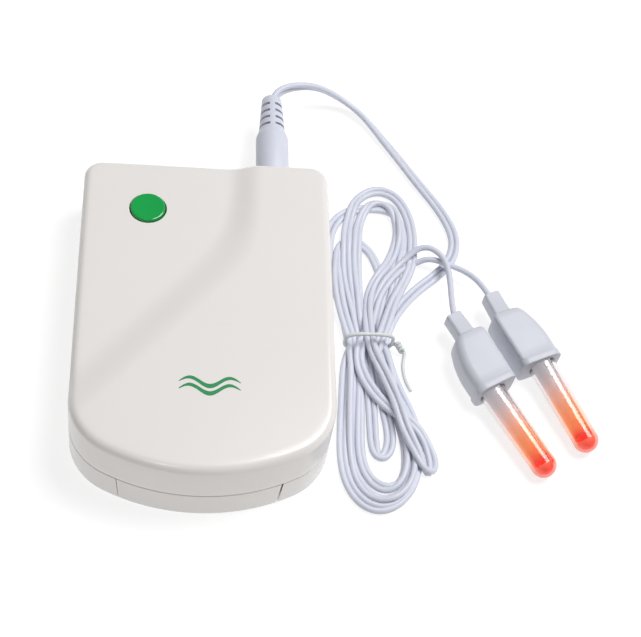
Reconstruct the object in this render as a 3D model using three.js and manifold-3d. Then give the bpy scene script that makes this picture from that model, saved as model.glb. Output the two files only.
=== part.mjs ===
// Nasal light-therapy unit: a two-shell plastic case with a battery and a timer board,
// and a plug-in twin lead with two light probes. Millimetres, +Z up.
// The origin is on the table under the middle of the case; the plug is on the +Y side.
import * as THREE from "three";
import { mergeVertices } from "three/addons/utils/BufferGeometryUtils.js";
import Module from "manifold-3d";

const wasm = await Module();
wasm.setup();

// ---------------------------------------------------------------- driving dimensions
const HALF_WIDTH = 33;
const BACK_Y = 49;
const FRONT_Y = -48.5;
const FRONT_RADIUS = 52.5;
const SIDE_CORNER_RADIUS = 16.5;
const BACK_CORNER_RADIUS = 5;
const CASE_HEIGHT = 23;
const SEAM_Z = 10;
const SEAM_GAP = 0.3;
const WALL = 1.8;
const FLOOR = 1.6;
const ROOF = 1.4;
const TOP_FILLET = 2.2;
const CROWN = 0.0006;
const CROWN_Y = -10;
const STEP_DEPTH = 2.2;
const PANEL_DEPTH = 2.0;
const GAP = 0.3;

const BUTTON_X = -15.6;
const BUTTON_Y = 32.2;
const BUTTON_RADIUS = 4.65;

const JACK_X = 18.6;
const JACK_Z = 11;
const PIN_RADIUS = 1.75;
const PIN_LENGTH = 14;

const BOARD_Z = 6.4;
const BOARD_THICKNESS = 1.6;
const BOARD_TOP = BOARD_Z + BOARD_THICKNESS;
const BOARD_MIN = [-22, 14];
const BOARD_MAX = [23, 44.5];

const DOOR_HALF_WIDTH = 19.5;
const DOOR_BACK_Y = -5;
const DOOR_RECESS = 0.3;

const BATTERY = { width: 26.5, height: 17.5, body: 46.2, post: 2.3, frontY: -44.3, z: 1.9 };

const CASE_SCREWS = [[-26, 40.5], [26.5, 40.5], [-26, -24], [26, -24]];
const BOARD_SCREWS = [[-18.5, 18], [-18.5, 41], [18.5, 18]];

const TWIN_DIAMETER = 2.6;
const LEAD_DIAMETER = 1.7;
const HANK_HEIGHT = 4.6;

const TUBE_BASE_RADIUS = 3.75;
const TUBE_TIP_RADIUS = 3.35;
const TUBE_VISIBLE = 27.1;
const TUBE_WALL = 0.8;
const TUBE_INSERT = 3.2;
const FLANGE_HALF_HEIGHT = 4.9;
const HANDLE_LENGTH = 23.2;

// ---------------------------------------------------------------- finishes
const finish = (color, roughness, metalness = 0) =>
  new THREE.MeshStandardMaterial({ color, roughness, metalness });
const WARM_WHITE = finish(0xe4e1dc, 0.28);
const COOL_WHITE = finish(0xd3d5e0, 0.42);
const GREEN = finish(0x0c9c3c, 0.2);
const BOARD_GREEN = finish(0x1c5f3a, 0.5);
const BLACK = finish(0x1a1a1c, 0.45);
const STEEL = finish(0xb9bcc0, 0.3, 1);
const BRASS = finish(0xcaa45a, 0.3, 1);
const CLEAR = new THREE.MeshStandardMaterial({
  color: 0xf4eeee, roughness: 0.05, transparent: true, opacity: 0.35,
});
const GLOW = finish(0xff7a3c, 0.4);
const RED = finish(0xf01818, 0.2);
const BATTERY_BLUE = finish(0x2c4a78, 0.35);
const BEIGE = finish(0xcfb58a, 0.5);

// ---------------------------------------------------------------- joining and cutting
function toSolid(geometry) {
  const bare = geometry.clone();
  bare.deleteAttribute("normal");
  bare.deleteAttribute("uv");
  const merged = mergeVertices(bare, 1e-4);
  const index = merged.index.array;
  const triangles = [];
  for (let i = 0; i < index.length; i += 3) {
    const [a, b, c] = [index[i], index[i + 1], index[i + 2]];
    if (a !== b && b !== c && c !== a) {
      triangles.push(a, b, c);
    }
  }
  return new wasm.Manifold(new wasm.Mesh({
    numProp: 3,
    vertProperties: new Float32Array(merged.attributes.position.array),
    triVerts: new Uint32Array(triangles),
  }));
}

function toGeometry(solid) {
  const mesh = solid.getMesh();
  const geometry = new THREE.BufferGeometry();
  geometry.setAttribute("position", new THREE.BufferAttribute(mesh.vertProperties, 3));
  geometry.setIndex(new THREE.BufferAttribute(mesh.triVerts, 1));
  geometry.computeVertexNormals();
  return geometry;
}

// Adds every geometry in `more` to the base, then takes every geometry in `less` away.
function shape(base, more = [], less = []) {
  let solid = toSolid(base);
  for (const piece of more) {
    solid = solid.add(toSolid(piece));
  }
  for (const piece of less) {
    solid = solid.subtract(toSolid(piece));
  }
  return toGeometry(solid);
}

// ---------------------------------------------------------------- plain shapes
function box(min, max) {
  const size = max.map((value, axis) => value - min[axis]);
  return new THREE.BoxGeometry(...size).translate(
    (min[0] + max[0]) / 2, (min[1] + max[1]) / 2, (min[2] + max[2]) / 2);
}

// A turned solid on the Z axis; the profile is a list of [radius, z] from bottom to top.
function turned(profile, segments = 20) {
  const points = profile.map(([radius, z]) => new THREE.Vector2(radius, z));
  return new THREE.LatheGeometry(points, segments).rotateX(Math.PI / 2);
}

const rod = (radius, from, to, segments = 20) =>
  turned([[0, from], [radius, from], [radius, to], [0, to]], segments);

// The same, turned on the Y axis: the profile is a list of [radius, y].
function turnedAlongY(profile, segments = 20) {
  const flipped = profile.map(([radius, y]) => [radius, -y]).reverse();
  return turned(flipped, segments).rotateX(Math.PI / 2);
}

const rodAlongY = (radius, from, to, segments = 20) =>
  turnedAlongY([[0, from], [radius, from], [radius, to], [0, to]], segments);

// A round tube along a smooth line through the given points.
function tube(points, diameter, steps, sides = 8) {
  const path = new THREE.CatmullRomCurve3(points.map((p) => new THREE.Vector3(...p)), false, "centripetal");
  const section = new THREE.Shape();
  for (let side = 0; side <= sides; side += 1) {
    const angle = (side / sides) * 2 * Math.PI;
    const x = (diameter / 2) * Math.cos(angle);
    const y = (diameter / 2) * Math.sin(angle);
    side === 0 ? section.moveTo(x, y) : section.lineTo(x, y);
  }
  return new THREE.ExtrudeGeometry(section, { steps, extrudePath: path });
}

// A closed skin through rings of equal point counts. The first and last ring are single points.
function loft(rings) {
  const count = rings[1].length;
  const levels = rings.map((_, level) => new THREE.Vector2(1, level));
  const geometry = new THREE.LatheGeometry(levels, count);
  const position = geometry.attributes.position;
  for (let column = 0; column <= count; column += 1) {
    rings.forEach((ring, level) => {
      const point = ring.length === 1 ? ring[0] : ring[column % count];
      position.setXYZ(column * rings.length + level, ...point);
    });
  }
  return geometry;
}

// ---------------------------------------------------------------- case outline and top
// The plan of the case, moved inwards by `inset`: straight sides, a round front and small back corners.
function caseOutline(inset) {
  const half = HALF_WIDTH - inset;
  const back = BACK_Y - inset;
  const backCorner = Math.max(BACK_CORNER_RADIUS - inset, 0.6);
  const front = FRONT_RADIUS - inset;
  const corner = SIDE_CORNER_RADIUS - inset;
  const frontCentreY = FRONT_Y + FRONT_RADIUS;
  const cornerX = HALF_WIDTH - SIDE_CORNER_RADIUS;
  const reach = FRONT_RADIUS - SIDE_CORNER_RADIUS;
  const cornerY = frontCentreY - Math.sqrt(reach ** 2 - cornerX ** 2);
  const join = Math.atan2(cornerY - frontCentreY, cornerX);
  const outline = new THREE.Shape();
  outline.moveTo(half, cornerY);
  outline.lineTo(half, back - backCorner);
  outline.absarc(half - backCorner, back - backCorner, backCorner, 0, Math.PI / 2);
  outline.lineTo(backCorner - half, back);
  outline.absarc(backCorner - half, back - backCorner, backCorner, Math.PI / 2, Math.PI);
  outline.lineTo(-half, cornerY);
  outline.absarc(-cornerX, cornerY, corner, Math.PI, -Math.PI - join + 2 * Math.PI);
  outline.absarc(0, frontCentreY, front, Math.PI - join - 2 * Math.PI, join);
  outline.absarc(cornerX, cornerY, corner, join, 0);
  return outline;
}

const OUTLINE_STEPS = [10, 4, 9, 4, 10, 6, 9, 6];

function outlinePoints(inset) {
  const curves = caseOutline(inset).curves.filter((curve) => curve.getLength() > 1e-6);
  return curves.flatMap((curve, k) => {
    const steps = OUTLINE_STEPS[k];
    return Array.from({ length: steps }, (_, i) => curve.getPoint(i / steps));
  });
}

// The smaller of two values, rounded where they meet.
const softMin = (a, b, round) => 0.5 * (a + b - Math.hypot(a - b, round));

// The swoosh on the top runs from the back edge to the left side. It rises from a valley to a ridge.
const ridgeX = (y) => softMin(15, y / 1.14 + 0.5, 6);
const valleyX = (y) => softMin(7, (y - 17) / 1.16, 8);

function topHeight(x, y) {
  const crown = CASE_HEIGHT - CROWN * (y - CROWN_Y) ** 2;
  const rise = THREE.MathUtils.clamp((x - valleyX(y)) / (ridgeX(y) - valleyX(y)), 0, 1);
  const panel = THREE.MathUtils.clamp((valleyX(y) - x) / 20, 0, 1);
  const drop = STEP_DEPTH + (PANEL_DEPTH - STEP_DEPTH) * panel;
  return crown - drop * (1 - THREE.MathUtils.smoothstep(rise, 0, 1));
}

// One ring of the case: the outline at an inset, drawn in to a share of its size, at a height.
function ring(inset, height, share = 1) {
  return outlinePoints(inset).map(({ x, y }) => {
    const [px, py] = [x * share, y * share];
    return [px, py, typeof height === "number" ? height : height(px, py)];
  });
}

// ---------------------------------------------------------------- case
function upperCover() {
  const ceiling = (x, y) => topHeight(x, y) - ROOF;
  const lowered = (drop) => (x, y) => topHeight(x, y) - drop;
  const inner = WALL + 0.6;
  const body = loft([
    [[0, 0, ceiling(0, 0)]],
    ...[0.25, 0.5, 0.75].map((share) => ring(inner, ceiling, share)),
    ring(inner, ceiling),
    ring(WALL, lowered(ROOF + 1.4)),
    ring(WALL, SEAM_Z),
    ring(0.25, SEAM_Z),
    ring(0, SEAM_Z + 0.25),
    ring(0, lowered(TOP_FILLET)),
    ring(TOP_FILLET * 0.134, lowered(TOP_FILLET * 0.5)),
    ring(TOP_FILLET * 0.5, lowered(TOP_FILLET * 0.134)),
    ring(TOP_FILLET, topHeight),
    ...[0.86, 0.72, 0.58, 0.44, 0.3, 0.16].map((share) => ring(TOP_FILLET, topHeight, share)),
    [[0, 0, topHeight(0, 0)]],
  ]);
  const bosses = CASE_SCREWS.map(([x, y]) =>
    rod(2.7, SEAM_Z, topHeight(x, y) - ROOF / 2, 12).translate(x, y, 0));
  const ribs = [-1, 1].map((side) => {
    const x = side * (BATTERY.width / 2 + 1.1);
    const top = Math.min(topHeight(x, -36), topHeight(x, 8)) - ROOF / 2;
    return box([x - 0.5, -36, SEAM_Z + GAP], [x + 0.5, 8, top]);
  });
  const pilots = CASE_SCREWS.map(([x, y]) => rod(1.3, SEAM_Z - 1, SEAM_Z + 6, 10).translate(x, y, 0));
  const buttonHole = rod(BUTTON_RADIUS + GAP, SEAM_Z, CASE_HEIGHT + 1, 32).translate(BUTTON_X, BUTTON_Y, 0);
  const jackHole = rodAlongY(3.3, BACK_Y - 5, BACK_Y + 1, 24).translate(JACK_X, 0, JACK_Z);
  return shape(body, [...bosses, ...ribs], [...pilots, buttonHole, jackHole]);
}

function lowerCase() {
  const rim = SEAM_Z - SEAM_GAP;
  const body = loft([
    [[0, 0, 0]],
    ring(1.4, 0, 0.5),
    ring(1.4, 0),
    ring(0.4, 0.4),
    ring(0, 1.4),
    ring(0, rim - 0.25),
    ring(0.25, rim),
    ring(WALL, rim),
    ring(WALL, FLOOR),
    ring(WALL, FLOOR, 0.5),
    [[0, 0, FLOOR]],
  ]);
  const bosses = CASE_SCREWS.map(([x, y]) => rod(3.4, FLOOR / 2, rim, 14).translate(x, y, 0));
  const posts = BOARD_SCREWS.map(([x, y]) => rod(2.2, FLOOR / 2, BOARD_Z - GAP, 12).translate(x, y, 0));
  const ribs = [-1, 1].map((side) => {
    const x = side * (DOOR_HALF_WIDTH + 1.4);
    return box([x - 0.6, -37, FLOOR / 2], [x + 0.6, 9, rim - 1]);
  });
  const doorway = box(
    [-DOOR_HALF_WIDTH - GAP, FRONT_Y - 2, -1], [DOOR_HALF_WIDTH + GAP, DOOR_BACK_Y + GAP, SEAM_Z]);
  const counterbores = CASE_SCREWS.map(([x, y]) => rod(2.7, -1, 5, 16).translate(x, y, 0));
  const screwHoles = CASE_SCREWS.map(([x, y]) => rod(1.4, 4, SEAM_Z, 10).translate(x, y, 0));
  const pilots = BOARD_SCREWS.map(([x, y]) => rod(1.05, FLOOR + 0.6, SEAM_Z, 10).translate(x, y, 0));
  const jackHole = rodAlongY(3.3, BACK_Y - 5, BACK_Y + 1, 24).translate(JACK_X, 0, JACK_Z);
  return shape(body, [...bosses, ...posts, ...ribs],
    [doorway, ...counterbores, ...screwHoles, ...pilots, jackHole]);
}

// The door is a floor plate with its stretch of the front wall, and two tongues that hook over the floor.
function batteryDoor() {
  const rim = SEAM_Z - SEAM_GAP;
  const outline = (inset) => new THREE.Shape(outlinePoints(inset));
  const height = rim - DOOR_RECESS;
  const block = new THREE.ExtrudeGeometry(outline(0), { depth: height, bevelEnabled: false })
    .translate(0, 0, DOOR_RECESS);
  const hollow = new THREE.ExtrudeGeometry(outline(WALL), { depth: height, bevelEnabled: false })
    .translate(0, 0, FLOOR);
  const zone = box([-DOOR_HALF_WIDTH, FRONT_Y - 1, -1], [DOOR_HALF_WIDTH, DOOR_BACK_Y, SEAM_Z + 1]);
  let door = toSolid(block).subtract(toSolid(hollow)).intersect(toSolid(zone));
  for (const x of [-16.5, 16.5]) {
    const riser = box([x - 2, DOOR_BACK_Y - 2.5, FLOOR - 0.4], [x + 2, DOOR_BACK_Y - 0.5, FLOOR + 1.5]);
    const tongue = box([x - 2, DOOR_BACK_Y - 1, FLOOR + GAP], [x + 2, DOOR_BACK_Y + 3, FLOOR + 1.5]);
    door = door.add(toSolid(riser)).add(toSolid(tongue));
  }
  return toGeometry(door);
}

function caseScrew([x, y]) {
  const head = turned([[0, 3.4], [2.3, 3.4], [2.4, 4.7], [1, 4.7], [1, SEAM_Z + 4.5], [0, SEAM_Z + 5.5]], 14);
  const slots = [0, Math.PI / 2].map((turn) => box([-1.5, -0.3, 3], [1.5, 0.3, 3.9]).rotateZ(turn));
  return shape(head, [], slots).translate(x, y, 0);
}

function boardScrew([x, y]) {
  const top = BOARD_TOP + GAP;
  const body = turned(
    [[0, FLOOR + 1.4], [0.75, FLOOR + 2.2], [0.75, top], [1.9, top], [1.7, top + 0.9], [0, top + 1.2]], 12);
  return shape(body, [], [box([-1.4, -0.25, top + 0.6], [1.4, 0.25, top + 2])]).translate(x, y, 0);
}

// ---------------------------------------------------------------- button and switch
const BUTTON_TOP = topHeight(BUTTON_X, BUTTON_Y) + 0.55;
const SWITCH_TOP = BOARD_TOP + GAP + 3.6;
const STEM_FOOT = 14.9;

function powerButton() {
  const flangeTop = topHeight(BUTTON_X, BUTTON_Y) - ROOF - 0.9;
  return turned([
    [0, STEM_FOOT], [1.6, STEM_FOOT], [1.6, flangeTop - 0.9], [5.8, flangeTop - 0.9],
    [5.8, flangeTop], [BUTTON_RADIUS, flangeTop], [BUTTON_RADIUS, BUTTON_TOP - 0.6],
    [BUTTON_RADIUS - 0.15, BUTTON_TOP - 0.3], [BUTTON_RADIUS - 0.5, BUTTON_TOP - 0.12],
    [2, BUTTON_TOP], [0, BUTTON_TOP + 0.04],
  ], 24).translate(BUTTON_X, BUTTON_Y, 0);
}

function switchBody() {
  const housing = box([-3, -3, BOARD_TOP + GAP], [3, 3, SWITCH_TOP]);
  return shape(housing, [], [rod(1.9, SWITCH_TOP - 1.5, SWITCH_TOP + 1, 16)])
    .translate(BUTTON_X, BUTTON_Y, 0);
}

const switchPlunger = () =>
  rod(1.6, SWITCH_TOP - 0.6, STEM_FOOT - GAP, 16).translate(BUTTON_X, BUTTON_Y, 0);

// ---------------------------------------------------------------- circuit board
function circuitBoard() {
  const plate = box([...BOARD_MIN, BOARD_Z], [...BOARD_MAX, BOARD_TOP]);
  const holes = BOARD_SCREWS.map(([x, y]) => rod(1.3, 0, SEAM_Z + 2, 12).translate(x, y, 0));
  return shape(plate, [], holes);
}

function controlChip() {
  const z = BOARD_TOP + GAP;
  const legs = [];
  for (let row = -1.5; row <= 1.5; row += 1) {
    legs.push(box([-4.2, row * 2.2 - 0.35, z], [4.2, row * 2.2 + 0.35, z + 0.9]));
  }
  return shape(box([-3, -4.6, z + 0.5], [3, 4.6, z + 3.2]), legs).translate(4, 37.5, 0);
}

const buzzer = () => shape(
  rod(6, BOARD_TOP + GAP, BOARD_TOP + 6.5, 24), [], [rod(1.1, BOARD_TOP + 5, BOARD_TOP + 8, 12)],
).translate(4.5, 22.5, 0);

const filterCapacitor = () => {
  const z = BOARD_TOP + GAP;
  return turned([[0, z], [2.5, z], [2.5, z + 0.8], [2.3, z + 1.1], [2.5, z + 1.4], [2.5, z + 7], [0, z + 7]], 18)
    .translate(-8, 19, 0);
};

// A small part with a half-round body; its flat side faces +Y.
function driveTransistor(x) {
  const z = BOARD_TOP + GAP;
  const outline = new THREE.Shape();
  outline.moveTo(-2, 1.2);
  outline.absarc(0, 0, 2.33, Math.PI - 0.54, 2 * Math.PI + 0.54);
  outline.lineTo(-2, 1.2);
  const body = new THREE.ExtrudeGeometry(outline, { depth: 4.4, bevelEnabled: false, curveSegments: 10 });
  return shape(body.translate(0, 0, z + 1.6),
    [-1.2, 0, 1.2].map((leg) => box([leg - 0.25, -0.25, z], [leg + 0.25, 0.25, z + 2])))
    .translate(x, 27, 0);
}

function resistor(x, y) {
  const z = BOARD_TOP + GAP + 1.1;
  const body = turnedAlongY([[0, -3.2], [0.9, -3.2], [1.1, -2.4], [0.85, -1.4], [0.85, 1.4],
    [1.1, 2.4], [0.9, 3.2], [0, 3.2]], 8);
  const wire = [[0, -4.6, -1.1], [0, -4.6, 0], [0, 4.6, 0], [0, 4.6, -1.1]];
  const legs = [
    box([-0.25, -4.85, -0.25], [0.25, 4.85, 0.25]),
    ...[wire[0], wire[3]].map(([, end]) => box([-0.25, end - 0.25, -1.1], [0.25, end + 0.25, 0])),
  ];
  return shape(body, legs).translate(x, y, z);
}

function jackSocket() {
  const housing = box([-4, 32, BOARD_TOP + GAP - JACK_Z], [4, 46.8, 3.2]);
  const bushing = turnedAlongY([[0, 45], [2.95, 45], [2.95, BACK_Y - 0.2], [0, BACK_Y - 0.2]], 24);
  const bore = rodAlongY(PIN_RADIUS + GAP, BACK_Y - PIN_LENGTH - 0.6, BACK_Y + 1, 20);
  return shape(housing, [bushing], [bore]).translate(JACK_X, 0, JACK_Z);
}

// ---------------------------------------------------------------- battery
const batteryMidZ = BATTERY.z + BATTERY.height / 2;
const postY = BATTERY.frontY + BATTERY.body;

function battery() {
  const half = BATTERY.width / 2;
  const outline = new THREE.Shape();
  const corner = 1.6;
  const [w, h] = [half - corner, BATTERY.height / 2 - corner];
  outline.absarc(w, h, corner, 0, Math.PI / 2);
  outline.absarc(-w, h, corner, Math.PI / 2, Math.PI);
  outline.absarc(-w, -h, corner, Math.PI, 1.5 * Math.PI);
  outline.absarc(w, -h, corner, 1.5 * Math.PI, 2 * Math.PI);
  const body = new THREE.ExtrudeGeometry(outline, { depth: BATTERY.body, bevelEnabled: false, curveSegments: 4 })
    .rotateX(Math.PI / 2).translate(0, postY, batteryMidZ);
  const small = rodAlongY(2.8, postY - 1, postY + BATTERY.post, 16).translate(6.35, 0, batteryMidZ);
  const large = rodAlongY(3.7, postY - 1, postY + BATTERY.post, 6).translate(-6.35, 0, batteryMidZ);
  return shape(body, [small, large]);
}

function batterySnap() {
  const y = postY + 0.4;
  const plate = box([-12.8, y, batteryMidZ - 6], [12.8, y + 3.8, batteryMidZ + 6]);
  const pockets = [-1, 1].map((side) =>
    rodAlongY(4.1, y - 1, y + 2.5, 18).translate(side * 6.35, 0, batteryMidZ));
  return shape(plate, [], pockets);
}

function batteryWire(side) {
  const y = postY + 4.2 + GAP + 0.3;
  const z = BOARD_TOP + GAP + 0.7;
  const x = 6.35 * side;
  return tube([
    [x, y, batteryMidZ], [x, y + 2.2, batteryMidZ + 0.6], [x - 3, 10.5, 12.6], [x - 5, 14.5, 11.6],
    [x - 5.4, 16.8, z + 0.6],
  ], 1.3, 14, 8);
}

// ---------------------------------------------------------------- plug
const PLUG_START = BACK_Y + GAP;
const PLUG_SHOULDER = 66.6;
const RELIEF_START = 68.6;
const RELIEF_END = 81;

function plugBody() {
  const body = turnedAlongY([
    [0, PLUG_START], [4.35, PLUG_START], [4.65, PLUG_START + 0.5], [4.6, PLUG_SHOULDER],
    [3.75, RELIEF_START], [2.8, RELIEF_END - 0.4], [2.5, RELIEF_END], [0, RELIEF_END],
  ], 20);
  const slits = [];
  for (let row = 0; row < 4; row += 1) {
    const y = RELIEF_START + 0.4 + 2.65 * row;
    for (const side of [-1, 1]) {
      slits.push(box([0.75, y, -4.2], [4.2, y + 0.9, 4.2]).scale(side, 1, 1));
    }
  }
  const mirrored = slits.map((slit) => fixWinding(slit));
  const socket = rodAlongY(PIN_RADIUS + GAP, PLUG_START - 1, PLUG_START + 4.6, 20);
  return shape(body, [], [...mirrored, socket]).translate(JACK_X, 0, JACK_Z);
}

// A mirrored box has its faces turned in; this turns them out again.
function fixWinding(geometry) {
  geometry.computeBoundingBox();
  const { min, max } = geometry.boundingBox;
  return box(min.toArray(), max.toArray());
}

function plugPin() {
  const tip = BACK_Y - PIN_LENGTH;
  return turnedAlongY([
    [0, tip], [0.9, tip + 0.5], [PIN_RADIUS, tip + 2.2], [1.35, tip + 3.2], [PIN_RADIUS, tip + 4],
    [PIN_RADIUS, PLUG_START + 4.2], [0, PLUG_START + 4.2],
  ], 20).translate(JACK_X, 0, JACK_Z);
}

// ---------------------------------------------------------------- leads
// The twin lead leaves the plug, drops to the table and runs round into the hank.
const twinRoute = [
  [18.7, 81.6, 11], [19.4, 83.2, 11], [20.9, 84.9, 11], [23.2, 86.5, 10.7], [26.2, 88, 10.1], [29.8, 89.3, 9],
  [33.4, 90.1, 7.6], [37.3, 90.1, 5.3], [41.7, 89.2, 2.9], [47.3, 84.4, 1.7], [52.7, 76.1, 1.35], [57.1, 69.1, 1.35],
  [60.9, 62.6, 1.35], [67.5, 51.9, 1.35], [70.5, 45.1, 1.35], [71.4, 40.5, 1.35], [70.4, 35.2, 1.35],
  [67.5, 30.5, 1.35], [63.4, 26.4, 1.4], [59.2, 22.6, 1.6],
];

// Each probe lead leaves the side of the hank, passes over the twin lead and ends at its handle.
const probeRoutes = {
  left: [
[60.6, 35.5, 4.9], [62.3, 35.1, 5.2], [65.5, 33.2, 5.6], [67.5, 29.7, 5.4], [68.1, 25.5, 5],
    [68.1, 21.5, 5], [68, 17.5, 5.4], [67.9, 13.7, 6], [67.85, 9.9, 6.46],
  ],
  right: [
[60.3, 32.4, 3.9], [63.8, 32.1, 3.7], [67.1, 30.5, 3.7], [71, 29, 3.8], [74.5, 26.3, 4.4],
    [76.6, 22.6, 5.4], [77.8, 19.7, 6.1], [78.75, 17.1, 6.48],
  ],
};

const hankOutline = [
  [51.5, 3.5], [54.3, 13.5], [57.2, 23], [59.3, 36], [58.4, 47], [54.4, 54.5], [48.6, 57.8],
  [42, 54], [36.4, 41], [35.6, 29], [37.2, 17], [38.2, 3.5], [37.4, -14], [35.4, -31],
  [37.6, -43], [44.2, -49.6], [52, -45.5], [60.4, -35.5], [59.3, -24], [53.6, -11],
];

function leadHank() {
  const [first, ...rest] = [...hankOutline, hankOutline[0]].map(([x, y]) => new THREE.Vector2(x, y));
  const outline = new THREE.Shape();
  outline.moveTo(first.x, first.y);
  outline.splineThru(rest);
  const depth = HANK_HEIGHT - 1.2;
  return new THREE.ExtrudeGeometry(outline, {
    depth, curveSegments: 2, bevelThickness: 0.6, bevelSize: 0.6, bevelOffset: -0.6, bevelSegments: 1,
  }).translate(0, 0, 0.6);
}

const hankTie = () => tube([
  [37, 3.2, 0.7], [36.9, 3.2, 3], [38.2, 3.3, 5.3], [44.5, 3.6, 5.6], [51.4, 3.8, 5.3],
  [52.8, 3.7, 3.2], [53.6, 1.8, 1.2], [54, -3, 0.7], [55.6, -10, 0.7],
], 1.2, 20, 8);

// ---------------------------------------------------------------- probes
// Local frame of a probe: the axis is Y, the clear tube points to -Y and the flange face is at y = 0.
// The probe lies on the lower edge of its flange and on its tip.
const TIP_CENTRE = TUBE_VISIBLE - TUBE_TIP_RADIUS;
const PROBE_TILT = Math.atan2(FLANGE_HALF_HEIGHT, TIP_CENTRE)
  - Math.asin(TUBE_TIP_RADIUS / Math.hypot(FLANGE_HALF_HEIGHT, TIP_CENTRE));
const PROBE_HEIGHT = FLANGE_HALF_HEIGHT * Math.cos(PROBE_TILT) + 0.01;
const NECK_OFFSET = 3;
const NECK_HALF = 2.1;
const NECK_START = 16.7;

// The flange is a rounded plate, wider than the grip on every side.
function probeFlange() {
  const [left, right, half, corner] = [-5.1, 6.8, FLANGE_HALF_HEIGHT, 2.8];
  const plate = new THREE.Shape();
  plate.moveTo(right, 0);
  plate.lineTo(right, half - corner);
  plate.absarc(right - corner, half - corner, corner, 0, Math.PI / 2);
  plate.absarc(left + corner, half - corner, corner, Math.PI / 2, Math.PI);
  plate.absarc(left + corner, corner - half, corner, Math.PI, Math.PI * 1.5);
  plate.absarc(right - corner, corner - half, corner, Math.PI * 1.5, Math.PI * 2);
  return new THREE.ExtrudeGeometry(plate, { depth: 2, curveSegments: 6, bevelEnabled: false })
    .rotateX(-Math.PI / 2);
}

function probeHandle(flatSide) {
  const outline = new THREE.Shape();
  outline.moveTo(6.3, 1.2);
  outline.lineTo(6.3, 14.7);
  outline.quadraticCurveTo(6.3, NECK_START, 4.3, NECK_START);
  outline.lineTo(0.4, NECK_START);
  outline.quadraticCurveTo(-1.4, NECK_START, -2, 14.4);
  outline.quadraticCurveTo(-4.3, 9.5, -4.7, 4.5);
  outline.lineTo(-4.7, 1.2);
  const bevel = 1.3;
  const body = new THREE.ExtrudeGeometry(outline, {
    depth: 9 - 2 * bevel, curveSegments: 5, bevelThickness: bevel, bevelSize: bevel,
    bevelOffset: -bevel, bevelSegments: 2,
  }).translate(0, 0, bevel - 4.5);
  const neck = box([NECK_OFFSET - NECK_HALF, NECK_START - 1.5, -2.2],
    [NECK_OFFSET + NECK_HALF, HANDLE_LENGTH, 2.2]);
  const tubeSocket = rodAlongY(TUBE_BASE_RADIUS + GAP, -1, TUBE_INSERT + GAP, 24);
  const chamber = rodAlongY(2.2, TUBE_INSERT, 10.3, 14);
  const leadBore = rodAlongY(1.2, 9, HANDLE_LENGTH + 1, 10).translate(NECK_OFFSET, 0, 0);
  const solid = shape(body, [neck, probeFlange()], [tubeSocket, chamber, leadBore]);
  return flatSide > 0 ? solid : toGeometry(toSolid(solid).mirror([1, 0, 0]));
}

function clearTube() {
  const outer = [[TUBE_BASE_RADIUS, TUBE_INSERT]];
  const inner = [[TUBE_BASE_RADIUS - TUBE_WALL, TUBE_INSERT]];
  const steps = 4;
  for (let i = 0; i <= steps; i += 1) {
    const angle = (i / steps) * Math.PI / 2;
    const outerRadius = TUBE_TIP_RADIUS * Math.cos(angle);
    const innerRadius = (TUBE_TIP_RADIUS - TUBE_WALL) * Math.cos(angle);
    outer.push([Math.max(outerRadius, 0), -TIP_CENTRE - TUBE_TIP_RADIUS * Math.sin(angle)]);
    inner.push([Math.max(innerRadius, 0), -TIP_CENTRE - (TUBE_TIP_RADIUS - TUBE_WALL) * Math.sin(angle)]);
  }
  outer[steps + 1][0] = 0;
  inner[steps + 1][0] = 0;
  return turnedAlongY([...outer.reverse(), ...inner], 18);
}

const SLEEVE_END = -22.9;
const LED_FOOT = -19.4;

const lightSleeve = () => turnedAlongY([
  [2, SLEEVE_END], [2.42, SLEEVE_END], [2.8, TUBE_INSERT - 0.2], [2.38, TUBE_INSERT - 0.2], [2, SLEEVE_END],
], 20);

const stickBoard = () => box([-1.6, LED_FOOT + 0.4, -0.5], [1.6, 9.5, 0.5]);

const tipLed = () => turnedAlongY([
  [0, LED_FOOT - 4], [0.9, LED_FOOT - 3.7], [1.5, LED_FOOT - 2.6], [1.5, LED_FOOT - 0.8],
  [1.8, LED_FOOT - 0.8], [1.8, LED_FOOT], [0, LED_FOOT],
], 18);

// ---------------------------------------------------------------- assembly
const unit = new THREE.Group();

function place(name, geometry, material, parent = unit) {
  const mesh = new THREE.Mesh(geometry, material);
  mesh.name = name;
  parent.add(mesh);
}

place("upper_cover", upperCover(), WARM_WHITE);
place("lower_case", lowerCase(), WARM_WHITE);
place("battery_door", batteryDoor(), WARM_WHITE);
CASE_SCREWS.forEach((at, i) => place(`case_screw_${i + 1}`, caseScrew(at), STEEL));

place("power_button", powerButton(), GREEN);
place("switch_body", switchBody(), BLACK);
place("switch_plunger", switchPlunger(), BLACK);

place("circuit_board", circuitBoard(), BOARD_GREEN);
BOARD_SCREWS.forEach((at, i) => place(`board_screw_${i + 1}`, boardScrew(at), STEEL));
place("control_chip", controlChip(), BLACK);
place("buzzer", buzzer(), BLACK);
place("filter_capacitor", filterCapacitor(), BATTERY_BLUE);
[-5, 13].forEach((x, i) => place(`drive_transistor_${i + 1}`, driveTransistor(x), BLACK));
[[-8.5, 38], [-4.5, 38], [-13, 21], [12.8, 36]].forEach(([x, y], i) =>
  place(`resistor_${i + 1}`, resistor(x, y), BEIGE));
place("jack_socket", jackSocket(), BLACK);

place("battery", battery(), BATTERY_BLUE);
place("battery_snap", batterySnap(), BLACK);
place("battery_wire_red", batteryWire(1), RED);
place("battery_wire_black", batteryWire(-1), BLACK);

place("plug_body", plugBody(), COOL_WHITE);
place("plug_pin", plugPin(), BRASS);
place("twin_lead", tube(twinRoute, TWIN_DIAMETER, 30), COOL_WHITE);
place("lead_hank", leadHank(), COOL_WHITE);
place("hank_tie", hankTie(), COOL_WHITE);

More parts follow.
